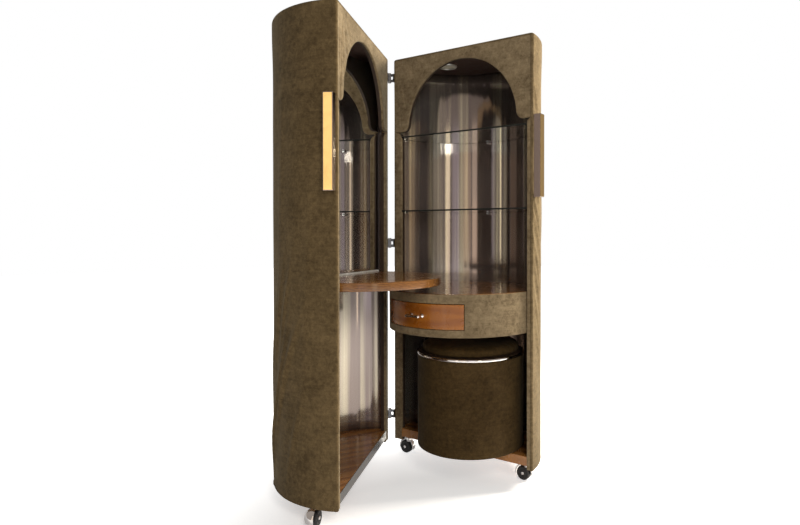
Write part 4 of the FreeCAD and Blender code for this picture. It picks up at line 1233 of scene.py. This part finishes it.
class CABINET_OT_drawer(bpy.types.Operator):
    """Builds the drawer's bowed veneered front, its pull and its box"""
    bl_idname = "cabinet.drawer"
    bl_label = "Drawer"

    def execute(self, context):
        colour = colours()
        low, high = RIGHT.extent("drawer_front")
        centre = bow_centre()
        radius = sizes().bow_radius
        turn = np.linspace(bow_turn(high[0]), bow_turn(low[0]), 90)[None]
        rise = np.linspace(low[2] + 0.0003, high[2] - 0.0003, 16)[:, None]
        reach = radius - 0.0006
        grid = np.stack([centre[0] + reach * np.cos(turn) + 0 * rise,
                         centre[1] - reach * np.sin(turn) + 0 * rise, rise + 0 * turn], -1)
        face = veneer("Drawer veneer", colour.drawer_light, colour.drawer_dark, LEVEL, 7.0, 0.22)
        piece = make("drawer_panel", Skin().add(RIGHT.place(grid)), "drawer", [face],
                     away=RIGHT.place((centre[0], centre[1], rise.mean())),
                     sharp=METAL_SHARP, replaces=("drawer_front",))
        bevel(solidify(piece, DRAWER_THICK), 0.0022, segments=4)
        softened("drawer_tray", "drawer_box", "drawer", board_finish("Drawer board", 1.2),
                 0.0008, 2)
        self.pull()
        return {"FINISHED"}

    def pull(self):
        """The pull: a turned bar with swelling, rounded ends, on two flared posts."""
        low, high = RIGHT.extent("drawer_pull")
        radius, post = 0.006, 0.005
        height = (low[2] + high[2]) / 2
        front = low[1] + radius
        half_bar = (high[0] - low[0]) / 2
        middle = (low[0] + high[0]) / 2
        span = half_bar - 0.008
        skin = Skin()
        turn = np.linspace(0, math.pi / 2, 9)
        along = np.concatenate([-half_bar + radius * (1 - np.cos(turn)),
                                np.linspace(radius - half_bar, half_bar - radius, 41)[1:-1],
                                half_bar - radius * (1 - np.cos(turn[::-1]))])
        neck = 0.80 + 0.20 * gauss(np.abs(along) - span, 0.008) + 0.10 * gauss(along, 0.006)
        cap = np.sin(np.arccos(np.clip((np.abs(along) - half_bar + radius) / radius, 0, 1)))
        skin.turn(np.stack([radius * neck * cap, along], 1),
                  RIGHT.place((middle, front, height)), 28, RIGHT.across)
        for sign in (-1, 1):
            across = middle + sign * span
            root = bow_centre()[1] - math.sqrt(sizes().bow_radius ** 2
                                               - (across - bow_centre()[0]) ** 2)
            depth = root - front
            flare = [(0, 0), (post * 0.8, 0), (post * 0.72, depth * 0.5), (post * 0.8, depth * 0.7),
                     (post * 1.2, depth - 0.004), (post * 1.7, depth - 0.0012),
                     (post * 1.75, depth), (post * 1.75, depth + 0.0008), (0, depth + 0.0008)]
            skin.turn(flare, RIGHT.place((across, front, height)), 28, RIGHT.back)
        make("drawer_grip", skin, "drawer", [chrome()], sharp=METAL_SHARP,
             replaces=("drawer_pull",))


class CABINET_OT_table(bpy.types.Operator):
    """Builds the round veneered table and the mirror that stands on it"""
    bl_idname = "cabinet.table"
    bl_label = "Round table and mirror"

    def execute(self, context):
        colour = colours()
        low, high = LEFT.extent("table_top")
        radius = (high[0] - low[0]) / 2
        middle = np.array([(low[0] + high[0]) / 2, (low[1] + high[1]) / 2])
        outline = arc(middle, radius - 0.0002, 0, 2 * math.pi, 241)[:-1]
        turn = LEFT.angle() + 0.5
        top = veneer("Table veneer", colour.veneer_light, colour.veneer_dark, turn, 15.0)
        make("round_table", slab_skin(LEFT, outline, middle, low[2], high[2],
                                      sizes().edge_rounding), LEFT.body, [top, lipping()],
             sharp=BOARD_SHARP, replaces=("table_top",))
        paint_node("table_cleat", frame_paint_and_shade())
        self.mirror()
        return {"FINISHED"}

    def mirror(self):
        """The mirror: a thin pane whose front face slopes to its edge over a broad bevel, and
        a backing board. Both lie along the mirror's own direction in plan."""
        turn = sizes().mirror_turn
        along = LEFT.across * math.cos(turn) + LEFT.back * math.sin(turn)
        deep = LEFT.back * math.cos(turn) - LEFT.across * math.sin(turn)
        off = mesh_points("mirror_glass") - AXIS
        start, end = (off @ along).min(), (off @ along).max()
        face, back = (off @ deep).min(), (off @ deep).max()
        low, high = off[:, 2].min(), off[:, 2].max()
        slope = 0.0011
        width = 0.018

        def ring(inset, depth):
            corners = np.array([(start + inset, low + inset), (end - inset, low + inset),
                                (end - inset, high - inset), (start + inset, high - inset)])
            return AXIS + corners[:, :1] * along + corners[:, 1:] * UP + depth * deep

        rings = [ring(0.0, back), ring(0.0, face + slope + 0.0006), ring(0.0005, face + slope),
                 ring(width, face + 0.0001)]
        pane = Skin().add(np.stack(rings), wrap=True, caps=True)
        make("mirror_pane", pane, LEFT.body, [mirror_silver("Mirror silver")],
             sharp=0.5, replaces=("mirror_glass",))
        softened("mirror_back", "mirror_board", LEFT.body, board_finish("Dark board", 0.35),
                 0.001)
        softened("mirror_ledge", "mirror_trim", LEFT.body,
                 plain("Pale trim", (0.78, 0.76, 0.70), 0.3), 0.0008)


# Stool

STOOL_FOLDS = [(0.15, 0.10, 1.35, 0.10, 0.012, 1.0), (0.34, 0.07, 1.70, 0.09, 0.011, 0.9),
               (0.52, 0.12, 1.45, 0.12, 0.013, 0.9), (0.70, 0.08, 1.60, 0.10, 0.012, 1.0),
               (0.90, 0.11, 1.40, 0.12, 0.012, 0.8), (1.10, 0.09, 1.65, 0.11, 0.012, 0.9),
               (0.25, 0.28, 1.55, 0.08, 0.012, 0.6), (0.62, 0.27, 1.50, 0.08, 0.012, 0.6)]


class CABINET_OT_stool(bpy.types.Operator):
    """Builds the drum stool: suede drum, chrome band and crowned cushion"""
    bl_idname = "cabinet.stool"
    bl_label = "Stool"

    def execute(self, context):
        low, high = RIGHT.extent("stool_drum_cover")
        radius = (high[0] - low[0]) / 2
        centre = RIGHT.place(((low[0] + high[0]) / 2, (low[1] + high[1]) / 2, 0))
        self.drum(centre, radius, low[2], high[2])
        self.band(centre)
        self.cushion(centre)
        softened("stool_base_board", "stool_base", "stool", frame_paint_and_shade(), 0.001)
        paint_node("stool_drum", plywood())
        paint_node("stool_seat_board", frame_paint_and_shade())
        paint_node("stool_glides", plain("Black glide", (0.02, 0.02, 0.02), 0.6))
        return {"FINISHED"}

    def drum(self, centre, radius, low, high):
        """The drum's suede: a turned wall with hems rolled in at both ends, slow vertical
        waves in its radius, and one upright seam behind."""
        hem = [(-0.006, 0.0), (-0.003, 0.0), (-0.0008, 0.0012), (0.0, 0.004)]
        rise = np.linspace(low + 0.008, high - 0.006, 60)
        profile = [(radius + inset, low + lift) for inset, lift in hem]
        profile += [(radius, height) for height in rise]
        profile += [(radius + inset, high - lift) for inset, lift in hem[::-1]]

        def ease(turn, height):
            calm = np.clip((height - low) / 0.02, 0, 1) * np.clip((high - height) / 0.02, 0, 1)
            wave = ripple(turn * radius, height, SEEDS["drum"], scale=0.16, height=0.0016)
            tall = creases(turn * radius, height - low, STOOL_FOLDS) * 0.0014
            seam = -0.0016 * gauss((turn - 1.2) * radius, 0.0016)
            return (wave + tall + seam - 0.0012) * calm

        # The stool suede is a browner and much darker copy of the one suede: its darkness is
        # painted shade from the desk over the stool.
        piece = make("stool_drum_suede", Skin().turn(profile, centre, 220, UP, ease), "stool",
                     [suede("Shaded stool suede", 0.28, 6.0, 0.45)],
                     away=centre + UP * (low + high) / 2, sharp=CLOTH_SHARP,
                     replaces=("stool_drum_cover",))
        solidify(piece, DRUM_THICK)

    def band(self, centre):
        """The chrome band: a turned strip with a half-round face."""
        low, high = RIGHT.extent("stool_band")
        radius = (high[0] - low[0]) / 2
        thick = high[2] - low[2]
        turn = np.linspace(-math.pi / 2, math.pi / 2, 11)
        face = [(radius - 0.0035 + 0.0035 * math.cos(a), low[2] + thick / 2 * (1 + math.sin(a)))
                for a in turn]
        profile = [(radius - 0.007, low[2])] + face + [(radius - 0.007, high[2])]
        profile += profile[:1]
        make("stool_chrome_band", Skin().turn(profile, centre, 180), "stool", [chrome()],
             sharp=METAL_SHARP, replaces=("stool_band",))

    def cushion(self, centre):
        """The cushion: a turned pad with a flat foot, an upright side and a crown, a little
        smaller than the real one. It is then filled as cloth."""
        low, high = RIGHT.extent("stool_cushion")
        radius = (high[0] - low[0]) / 2
        side = low[2] + (high[2] - low[2]) * 0.62
        foot = [(0, low[2] + 0.0004), (radius * 0.6, low[2] + 0.0004),
                (radius - 0.012, low[2] + 0.0004), (radius - 0.009, low[2] + 0.003)]
        shoulder = arc((radius - 0.021, side - 0.011), 0.013, 0, math.pi / 2, 7).tolist()
        crown = [((radius - 0.021) * share, side + 0.002 + (high[2] - side - 0.008)
                  * (1 - share ** 2.2)) for share in np.linspace(0.92, 0, 14)]
        profile = np.array(foot + shoulder + crown)

        def ease(turn, height):
            near_side = gauss(height - (side + low[2]) / 2, 0.014)
            gather = 0.0009 * np.sin(turn * 37 + 0.9 * np.sin(turn * 5)) * near_side
            sway = ripple(turn * radius, height, SEEDS["cushion_side"], scale=0.09,
                          height=0.0012)
            return gather + sway * near_side

        # The cushion suede is a browner and much darker copy of the one suede: its darkness is
        # painted shade from the desk above.
        piece = make("stool_padded_top", Skin().turn(profile, centre, 200, UP, ease), "stool",
                     [suede("Shaded cushion suede", 0.28, 6.0, 0.45)], sharp=180,
                     replaces=("stool_cushion",))
        blow_up(piece, voxel=0.005, reach=0.007, floor=low[2] + 0.0003,
                roof=high[2] - 0.0003)
        sink_crown(piece, centre, radius, side)


def applied(piece):
    """The piece's mesh with its modifiers applied, which then go."""
    graph = bpy.context.evaluated_depsgraph_get()
    mesh = bpy.data.meshes.new_from_object(piece.evaluated_get(graph))
    old = piece.data
    piece.modifiers.clear()
    piece.data = mesh
    mesh.name = old.name
    bpy.data.meshes.remove(old)


FILL_PRESSURE = 4.0
FILL_FRAMES = 20


def blow_up(piece, voxel, reach, floor, roof):
    """Fills a pad as cloth under pressure: each point moves by at most the reach, and stays
    between the floor and the roof; one subdivision smooths it."""
    remesh = piece.modifiers.new("Even mesh", "REMESH")
    remesh.mode = "VOXEL"
    remesh.voxel_size = voxel
    applied(piece)
    rest = mesh_rows(piece.data)
    cloth = piece.modifiers.new("Fill", "CLOTH")
    cloth.settings.use_pressure = True
    cloth.settings.uniform_pressure_force = FILL_PRESSURE
    cloth.settings.effector_weights.gravity = 0.0
    cloth.point_cache.frame_start = 1
    cloth.point_cache.frame_end = FILL_FRAMES
    for step in range(1, FILL_FRAMES + 1):
        bpy.context.scene.frame_set(step)
    applied(piece)
    move = mesh_rows(piece.data) - rest
    length = np.linalg.norm(move, axis=1, keepdims=True)
    points = rest + move * np.minimum(1, reach / np.maximum(length, TINY))
    points[:, 2] = np.clip(points[:, 2], floor, roof)
    piece.data.vertices.foreach_set("co", points.reshape(-1))
    piece.data.update()
    piece.data.shade_smooth()
    bpy.context.scene.frame_set(1)
    smooth = piece.modifiers.new("Smooth", "SUBSURF")
    smooth.levels = 1
    smooth.render_levels = 1


def sink_crown(piece, centre, radius, side):
    """Lets the crown sink and wander a little, as foam under used cloth does: the height
    above the side is changed by a slow swell that fades at the edge."""
    mesh = piece.data
    points = mesh_rows(mesh)
    off = points[:, :2] - centre[:2]
    share = np.linalg.norm(off, axis=1) / radius
    top = np.clip((points[:, 2] - side) / 0.01, 0, 1) * np.clip((0.95 - share) / 0.3, 0, 1)
    swell = ripple(off[:, 0], off[:, 1], SEEDS["cushion_top"], scale=0.13, height=0.0011)
    points[:, 2] += top * (swell - 0.0012 - 0.0014 * gauss(share - 0.1, 0.4))
    mesh.vertices.foreach_set("co", points.reshape(-1))
    mesh.update()


# Handles, hinges and casters

# How far the screws stand outside the cover and behind the opening, and where they sit in a
# leaf's height.
SCREW_OUT = 0.0035
SCREW_BACK = 0.019
SCREW_SHARES = (0.24, 0.76)


def screw(skin, centre, axis):
    """A countersunk screw head: a shallow dome with a sunk middle."""
    radius = 0.0034
    profile = [(0, 0.0002), (radius * 0.45, 0.0002), (radius * 0.5, 0.0009),
               (radius * 0.85, 0.0008), (radius, 0.0002), (radius, -0.0004), (0, -0.0004)]
    skin.turn(profile, centre, 20, axis)


class CABINET_OT_handles(bpy.types.Operator):
    """Finishes the two box handles and their gilt faces"""
    bl_idname = "cabinet.handles"
    bl_label = "Handles"

    def execute(self, context):
        gilt = metal("Gilt", colours().gilt, 0.06, 0.14, 0.06)
        for half in HALVES:
            softened(half.side + "_handle_box", half.side + "_handle_bar", half.body,
                     handle_metal(), 0.0012)
            softened(half.side + "_handle_face", half.side + "_handle_inlay", half.body, gilt,
                     0.0008)
        return {"FINISHED"}


class CABINET_OT_hinges(bpy.types.Operator):
    """Finishes the three butt hinges, with their pins and screws"""
    bl_idname = "cabinet.hinges"
    bl_label = "Hinges"

    def execute(self, context):
        leaf = metal("Hinge steel", (0.40, 0.41, 0.44), 0.22, 0.45, 0.1)
        steel = metal("Pin steel", (0.55, 0.55, 0.56), 0.15, 0.35)
        for half in HALVES:
            node = half.side + "_hinge_leaves"
            softened(half.side + "_hinges", node, half.body, leaf, 0.0005, 2)
            plate = MIDDLE - RADIUS - SCREW_OUT
            skin = Skin()
            for low, high in self.levels(mesh_points(node)[:, 2]):
                for share in SCREW_SHARES:
                    height = low + (high - low) * share
                    screw(skin, half.place((plate, SCREW_BACK, height)), -half.across)
            make(half.side + "_hinge_screws", skin, half.body, [steel],
                 sharp=METAL_SHARP)
        softened("hinge_pin_rods", "hinge_pins", RIGHT.body, steel, 0.0006, 2)
        return {"FINISHED"}

    def levels(self, heights):
        """The lowest and highest point of each hinge, told apart by the gaps between them."""
        heights = np.sort(heights)
        breaks = np.nonzero(np.diff(heights) > 0.2)[0]
        starts = np.concatenate([[0], breaks + 1])
        ends = np.concatenate([breaks, [len(heights) - 1]])
        return [(heights[a], heights[b]) for a, b in zip(starts, ends)]


def open_front(mesh, place, heading):
    """Cuts away what lies past a plane, and closes the cut."""
    work = bmesh.new()
    work.from_mesh(mesh)
    cut = bmesh.ops.bisect_plane(
        work, geom=work.verts[:] + work.edges[:] + work.faces[:], dist=SLIVER,
        plane_co=Vector(place), plane_no=Vector(heading), clear_outer=True)
    edges = [item for item in cut["geom_cut"] if isinstance(item, bmesh.types.BMEdge)]
    bmesh.ops.holes_fill(work, edges=edges, sides=0)
    bmesh.ops.recalc_face_normals(work, faces=work.faces)
    work.to_mesh(mesh)
    work.free()
    mesh.set_sharp_from_angle(angle=math.radians(METAL_SHARP))


# The hood's radius and wall, how far before the hub it is cut open, how far out the axle's
# two caps reach, and half the tread's width.
HOOD_RADIUS = 0.036
HOOD_WALL = 0.0035
HOOD_CUT = 0.004
CAP_FACES = (0.0352, 0.0145)
TREAD_HALF_WIDTH = 0.0125
CASTERS = {"right_hinge": RIGHT, "right_outer": RIGHT, "right_back": RIGHT,
           "left_outer": LEFT, "left_back": LEFT}


class CABINET_OT_casters(bpy.types.Operator):
    """Builds the hooded casters: hood, stem boss, axle caps and rubber wheel"""
    bl_idname = "cabinet.casters"
    bl_label = "Casters"

    def execute(self, context):
        rubber = plain("Black rubber", (0.016, 0.016, 0.017), 0.45, 0.1)
        black = plain("Black iron", (0.03, 0.03, 0.03), 0.4, 0.2)
        for name, half in CASTERS.items():
            self.hood(name, half)
            self.wheel(name, rubber)
        for half in HALVES:
            softened(half.side + "_caster_fixings", half.side + "_caster_plates", half.body,
                     black, 0.0006, 2)
        return {"FINISHED"}

    def hood(self, name, half):
        """The hood: a turned dome with a rolled rim, cut open in front of its wheel, the boss
        round the stem, and a cap over each end of the axle."""
        node = name + "_caster_hood"
        stem = np.array(JOINTS[name + "_caster_swivel"]["pos_m"])
        hub = np.array(JOINTS[name + "_wheel_spin"]["pos_m"])
        points = mesh_points(node)
        low, top = points[:, 2].min(), points[:, 2].max()
        lean = math.asin((hub[2] - low) / HOOD_RADIUS)
        rise = np.linspace(-lean, math.pi / 2, 24)
        outer, inner = (np.stack([radius * np.cos(rise), hub[2] + radius * np.sin(rise)], 1)
                        for radius in (HOOD_RADIUS, HOOD_RADIUS - HOOD_WALL))
        inner = inner[::-1]
        inner[-1, 1] = low
        profile = np.concatenate([outer, inner, outer[:1]])
        dome = Skin().turn(profile, hub * (1, 1, 0), 72)
        piece = make(name + "_hood_dome", dome, name + "_swivel", [chrome()],
                     sharp=METAL_SHARP, replaces=(node,))
        open_front(piece.data, hub - half.back * HOOD_CUT, -half.back)
        bevel(piece, 0.0006, 2)
        foot = hub[2] + HOOD_RADIUS * 0.82
        skin = Skin()
        boss = [(0.0, top), (0.0104, top), (0.011, top - 0.0008), (0.011, top - 0.006),
                (0.0122, top - 0.010), (0.0136, foot + 0.003), (0.0136, foot - 0.004),
                (0.0, foot - 0.004)]
        skin.turn(boss, stem * (1, 1, 0), 48)
        for axis, face in zip((half.back, -half.back), CAP_FACES):
            cap = [(0, face), (0.0033, face), (0.0056, face - 0.0006), (0.0064, face - 0.002),
                   (0.0064, face - 0.0045), (0, face - 0.0045)]
            skin.turn(cap, hub, 28, axis)
        make(name + "_hood_fittings", skin, name + "_swivel", [chrome()],
             sharp=METAL_SHARP)

    def wheel(self, name, rubber):
        """The wheel: a turned tread with rounded shoulders and a grooved middle, and a hub
        with a raised ring on each face."""
        hub = np.array(JOINTS[name + "_wheel_spin"]["pos_m"])
        axle = np.array(JOINTS[name + "_wheel_spin"]["axis"], float)
        radius = hub[2]
        width = TREAD_HALF_WIDTH
        shoulder = arc((radius - 0.006, width - 0.006), 0.006, math.pi / 2, 0, 7)
        groove = [(radius, 0.0030), (radius - 0.0009, 0.0022), (radius - 0.0009, -0.0022),
                  (radius, -0.0030)]
        other = shoulder[::-1] * (1, -1)
        side = [(0.0036, width - 0.001), (0.0085, width - 0.001), (0.0095, width),
                (0.0125, width), (0.0135, width - 0.0012), (0.018, width - 0.0012)]
        far = [(across, -along) for across, along in side[::-1]]
        profile = side + shoulder.tolist() + groove + other.tolist() + far + side[:1]
        make(name + "_wheel_tread", Skin().turn(profile, hub, 64, axle), name + "_roller",
             [rubber], sharp=METAL_SHARP, replaces=(name + "_caster_wheel",))


# Stage

PHOTO_WIDTH = 800
PHOTO_HEIGHT = 525
FOCAL_PIXELS = 585.41
CENTRE_PIXEL = (470.14, 237.37)
SENSOR = 36.0
EYE = (1.643, -1.940, 0.952)
HEADING = math.radians(32.44)
TILT = math.radians(0.55)
PAINTED_SHADOW_PLACE = (0.35, -0.35, 0.0)

# Each light: name, place, what it aims at, width, height, power, colour, and whether
# polished faces show it.
LIGHTS = [
    ("Key from the right", (1.8, 2.1, 2.1), (-0.1, -0.3, 0.9), 1.0, 1.4, 250, (1.0, 0.94, 0.84),
     False),
    ("Front fill", (2.7, -2.2, 2.3), (0.0, 0.0, 0.9), 1.0, 1.4, 60, (1.0, 0.97, 0.92), False),
    ("Right strip", (2.75, -1.96, 1.0), (0.0, 0.3, 1.0), 0.30, 2.1, 4.4, (1.0, 0.90, 0.66), True),
    ("Lavender panel", (2.17, -2.78, 1.1), (0.0, 0.3, 1.0), 0.70, 2.0, 2.2, (0.84, 0.80, 1.0),
     True),
    ("Tan panel", (1.25, -3.25, 1.0), (0.0, 0.3, 1.0), 0.70, 2.0, 2.2, (1.0, 0.76, 0.52), True),
    ("Middle strip", (0.40, -3.2, 1.05), (0.0, 0.3, 1.0), 0.24, 2.1, 1.7, (1.0, 0.84, 0.66),
     True),
    ("Low warm light", (0.42, -3.5, 0.75), (0.1, -0.5, 1.0), 0.5, 1.1, 0.6, (1.0, 0.72, 0.46),
     True),
    ("Back fill", (-1.2, 2.8, 2.3), (0.0, 0.0, 0.9), 2.2, 1.8, 16, (1.0, 0.98, 0.95), False),
]


class CABINET_OT_stage(bpy.types.Operator):
    """Sets the floor, the light and the camera"""
    bl_idname = "cabinet.stage"
    bl_label = "Stage"

    def execute(self, context):
        self.floor()
        self.lights()
        self.world(context.scene)
        self.camera(context.scene)
        return {"FINISHED"}

    def floor(self):
        """A wide flat disc just under the wheels. It glows more with its distance from a place
        in front of the object, so the weaker glow there paints a soft shadow over the lamps' own
        shadows, and the rest is white."""
        reach = np.array([0.0, 0.5, 2.0, 6.0, 14.0])
        spokes = 64
        turn = np.linspace(0, 2 * math.pi, spokes, endpoint=False)
        grid = np.stack([reach[:, None] * np.cos(turn), reach[:, None] * np.sin(turn),
                         np.full((len(reach), spokes), -0.0002)], -1)
        mesh = bpy.data.meshes.new("studio_floor")
        mesh.from_pydata(grid.reshape(-1, 3).tolist(), [],
                         grid_faces(len(reach), spokes, True).tolist())
        finish, tree, surface, place = shader("Pale floor")
        rays = tree.nodes.new("ShaderNodeLightPath").outputs
        seen = chain(tree, "ADD", rays["Is Camera Ray"],
                     chain(tree, "MULTIPLY", rays["Is Glossy Ray"], 0.25))
        away = add(tree, "ShaderNodeVectorMath", {0: place, 1: PAINTED_SHADOW_PLACE},
                   operation="DISTANCE")
        # Painted shadow: the glow is weakest near the painted shadow place.
        glow = remap(tree, away.outputs["Value"], 0.5, 1.15, 0.42, 1.1)
        feed(tree, surface, {
            "Base Color": (0.80, 0.80, 0.80, 1), "Roughness": 0.9, "Specular IOR Level": 0.0,
            "Emission Color": (1, 1, 1, 1),
            "Emission Strength": chain(tree, "MULTIPLY", seen, glow)})
        mesh.materials.append(finish)
        floor = bpy.data.objects.new("studio_floor", mesh)
        bpy.context.scene.collection.objects.link(floor)

    def lights(self):
        """A key from behind on the right, two fills, and tall strips and panels that the
        metal shows. The key and the fills aren't shown by polished faces."""
        for name, place, aim, wide, tall, power, tint, shown in LIGHTS:
            data = bpy.data.lights.new(name, "AREA")
            data.shape = "RECTANGLE"
            data.size = wide
            data.size_y = tall
            data.energy = power
            data.color = tint
            lamp = bpy.data.objects.new(name, data)
            lamp.location = place
            lamp.visible_glossy = shown
            heading = Vector(aim) - lamp.location
            lamp.rotation_euler = heading.to_track_quat("-Z", "Y").to_euler()
            bpy.context.scene.collection.objects.link(lamp)

    def world(self, scene):
        """White surroundings for the eye, a weak white for the light that they give, and a
        warm grey for what polished faces show of them."""
        world = bpy.data.worlds.new("Studio white")
        world.use_nodes = True
        tree = world.node_tree
        rays = tree.nodes.new("ShaderNodeLightPath").outputs
        given = tree.nodes["Background"]
        feed(tree, given, {"Color": (1.0, 0.98, 0.95, 1), "Strength": 0.30})
        shown = add(tree, "ShaderNodeBackground", {"Color": (1.0, 0.88, 0.78, 1),
                                                   "Strength": 0.36})
        seen = add(tree, "ShaderNodeBackground", {"Color": (1, 1, 1, 1), "Strength": 1.0})
        around = add(tree, "ShaderNodeMixShader", {
            0: rays["Is Glossy Ray"], 1: given.outputs[0], 2: shown.outputs[0]})
        mix = add(tree, "ShaderNodeMixShader", {
            0: rays["Is Camera Ray"], 1: around.outputs[0], 2: seen.outputs[0]})
        feed(tree, tree.nodes["World Output"], {"Surface": mix.outputs[0]})
        scene.world = world
        scene.view_settings.view_transform = "Standard"

    def camera(self, scene):
        """The photograph's viewpoint: its place from the hinge line, its heading, its slight
        downward tilt, and the shift that its off-centre frame needs."""
        data = bpy.data.cameras.new("Photo camera")
        data.sensor_width = SENSOR
        data.lens = SENSOR * FOCAL_PIXELS / PHOTO_WIDTH
        data.shift_x = (PHOTO_WIDTH / 2 - CENTRE_PIXEL[0]) / PHOTO_WIDTH
        data.shift_y = (CENTRE_PIXEL[1] - PHOTO_HEIGHT / 2) / PHOTO_WIDTH
        data.clip_end = 100
        camera = bpy.data.objects.new("Photo camera", data)
        camera.location = (AXIS[0] + EYE[0], AXIS[1] + EYE[1], EYE[2])
        camera.rotation_euler = (math.pi / 2 - TILT, 0, HEADING)
        scene.collection.objects.link(camera)
        scene.camera = camera


class CABINET_PT_builder(bpy.types.Panel):
    """Lists the cabinet's pieces, sizes and colours"""
    bl_label = "Dressing Cabinet"
    bl_idname = "CABINET_PT_builder"
    bl_space_type = "VIEW_3D"
    bl_region_type = "UI"
    bl_category = "Cabinet"

    def draw(self, context):
        for operator in OPERATORS:
            self.layout.operator(operator.bl_idname)
        for settings in (context.scene.cabinet_sizes, context.scene.cabinet_colours):
            for name in settings.bl_rna.properties.keys():
                if name not in ("rna_type", "name"):
                    self.layout.prop(settings, name)


OPERATORS = (CABINET_OT_outer_suede, CABINET_OT_face_pads, CABINET_OT_carcass,
             CABINET_OT_glass_shelves, CABINET_OT_ceiling_light, CABINET_OT_desk,
             CABINET_OT_drawer, CABINET_OT_table, CABINET_OT_stool, CABINET_OT_handles,
             CABINET_OT_hinges, CABINET_OT_casters, CABINET_OT_stage)
CLASSES = (CabinetSizes, CabinetColours) + OPERATORS + (CABINET_PT_builder,)


def register():
    """Registers the classes and hangs the settings on the scene."""
    for item in CLASSES:
        bpy.utils.register_class(item)
    bpy.types.Scene.cabinet_sizes = PointerProperty(type=CabinetSizes)
    bpy.types.Scene.cabinet_colours = PointerProperty(type=CabinetColours)


def unregister():
    """Takes the settings and the classes away again."""
    del bpy.types.Scene.cabinet_colours
    del bpy.types.Scene.cabinet_sizes
    for item in reversed(CLASSES):
        bpy.utils.unregister_class(item)


def main():
    """Registers the settings and builds every piece."""
    register()
    bpy.ops.cabinet.outer_suede()
    bpy.ops.cabinet.face_pads()
    bpy.ops.cabinet.carcass()
    bpy.ops.cabinet.glass_shelves()
    bpy.ops.cabinet.ceiling_light()
    bpy.ops.cabinet.desk()
    bpy.ops.cabinet.drawer()
    bpy.ops.cabinet.table()
    bpy.ops.cabinet.stool()
    bpy.ops.cabinet.handles()
    bpy.ops.cabinet.hinges()
    bpy.ops.cabinet.casters()
    bpy.ops.cabinet.stage()


if __name__ == "__main__":
    main()
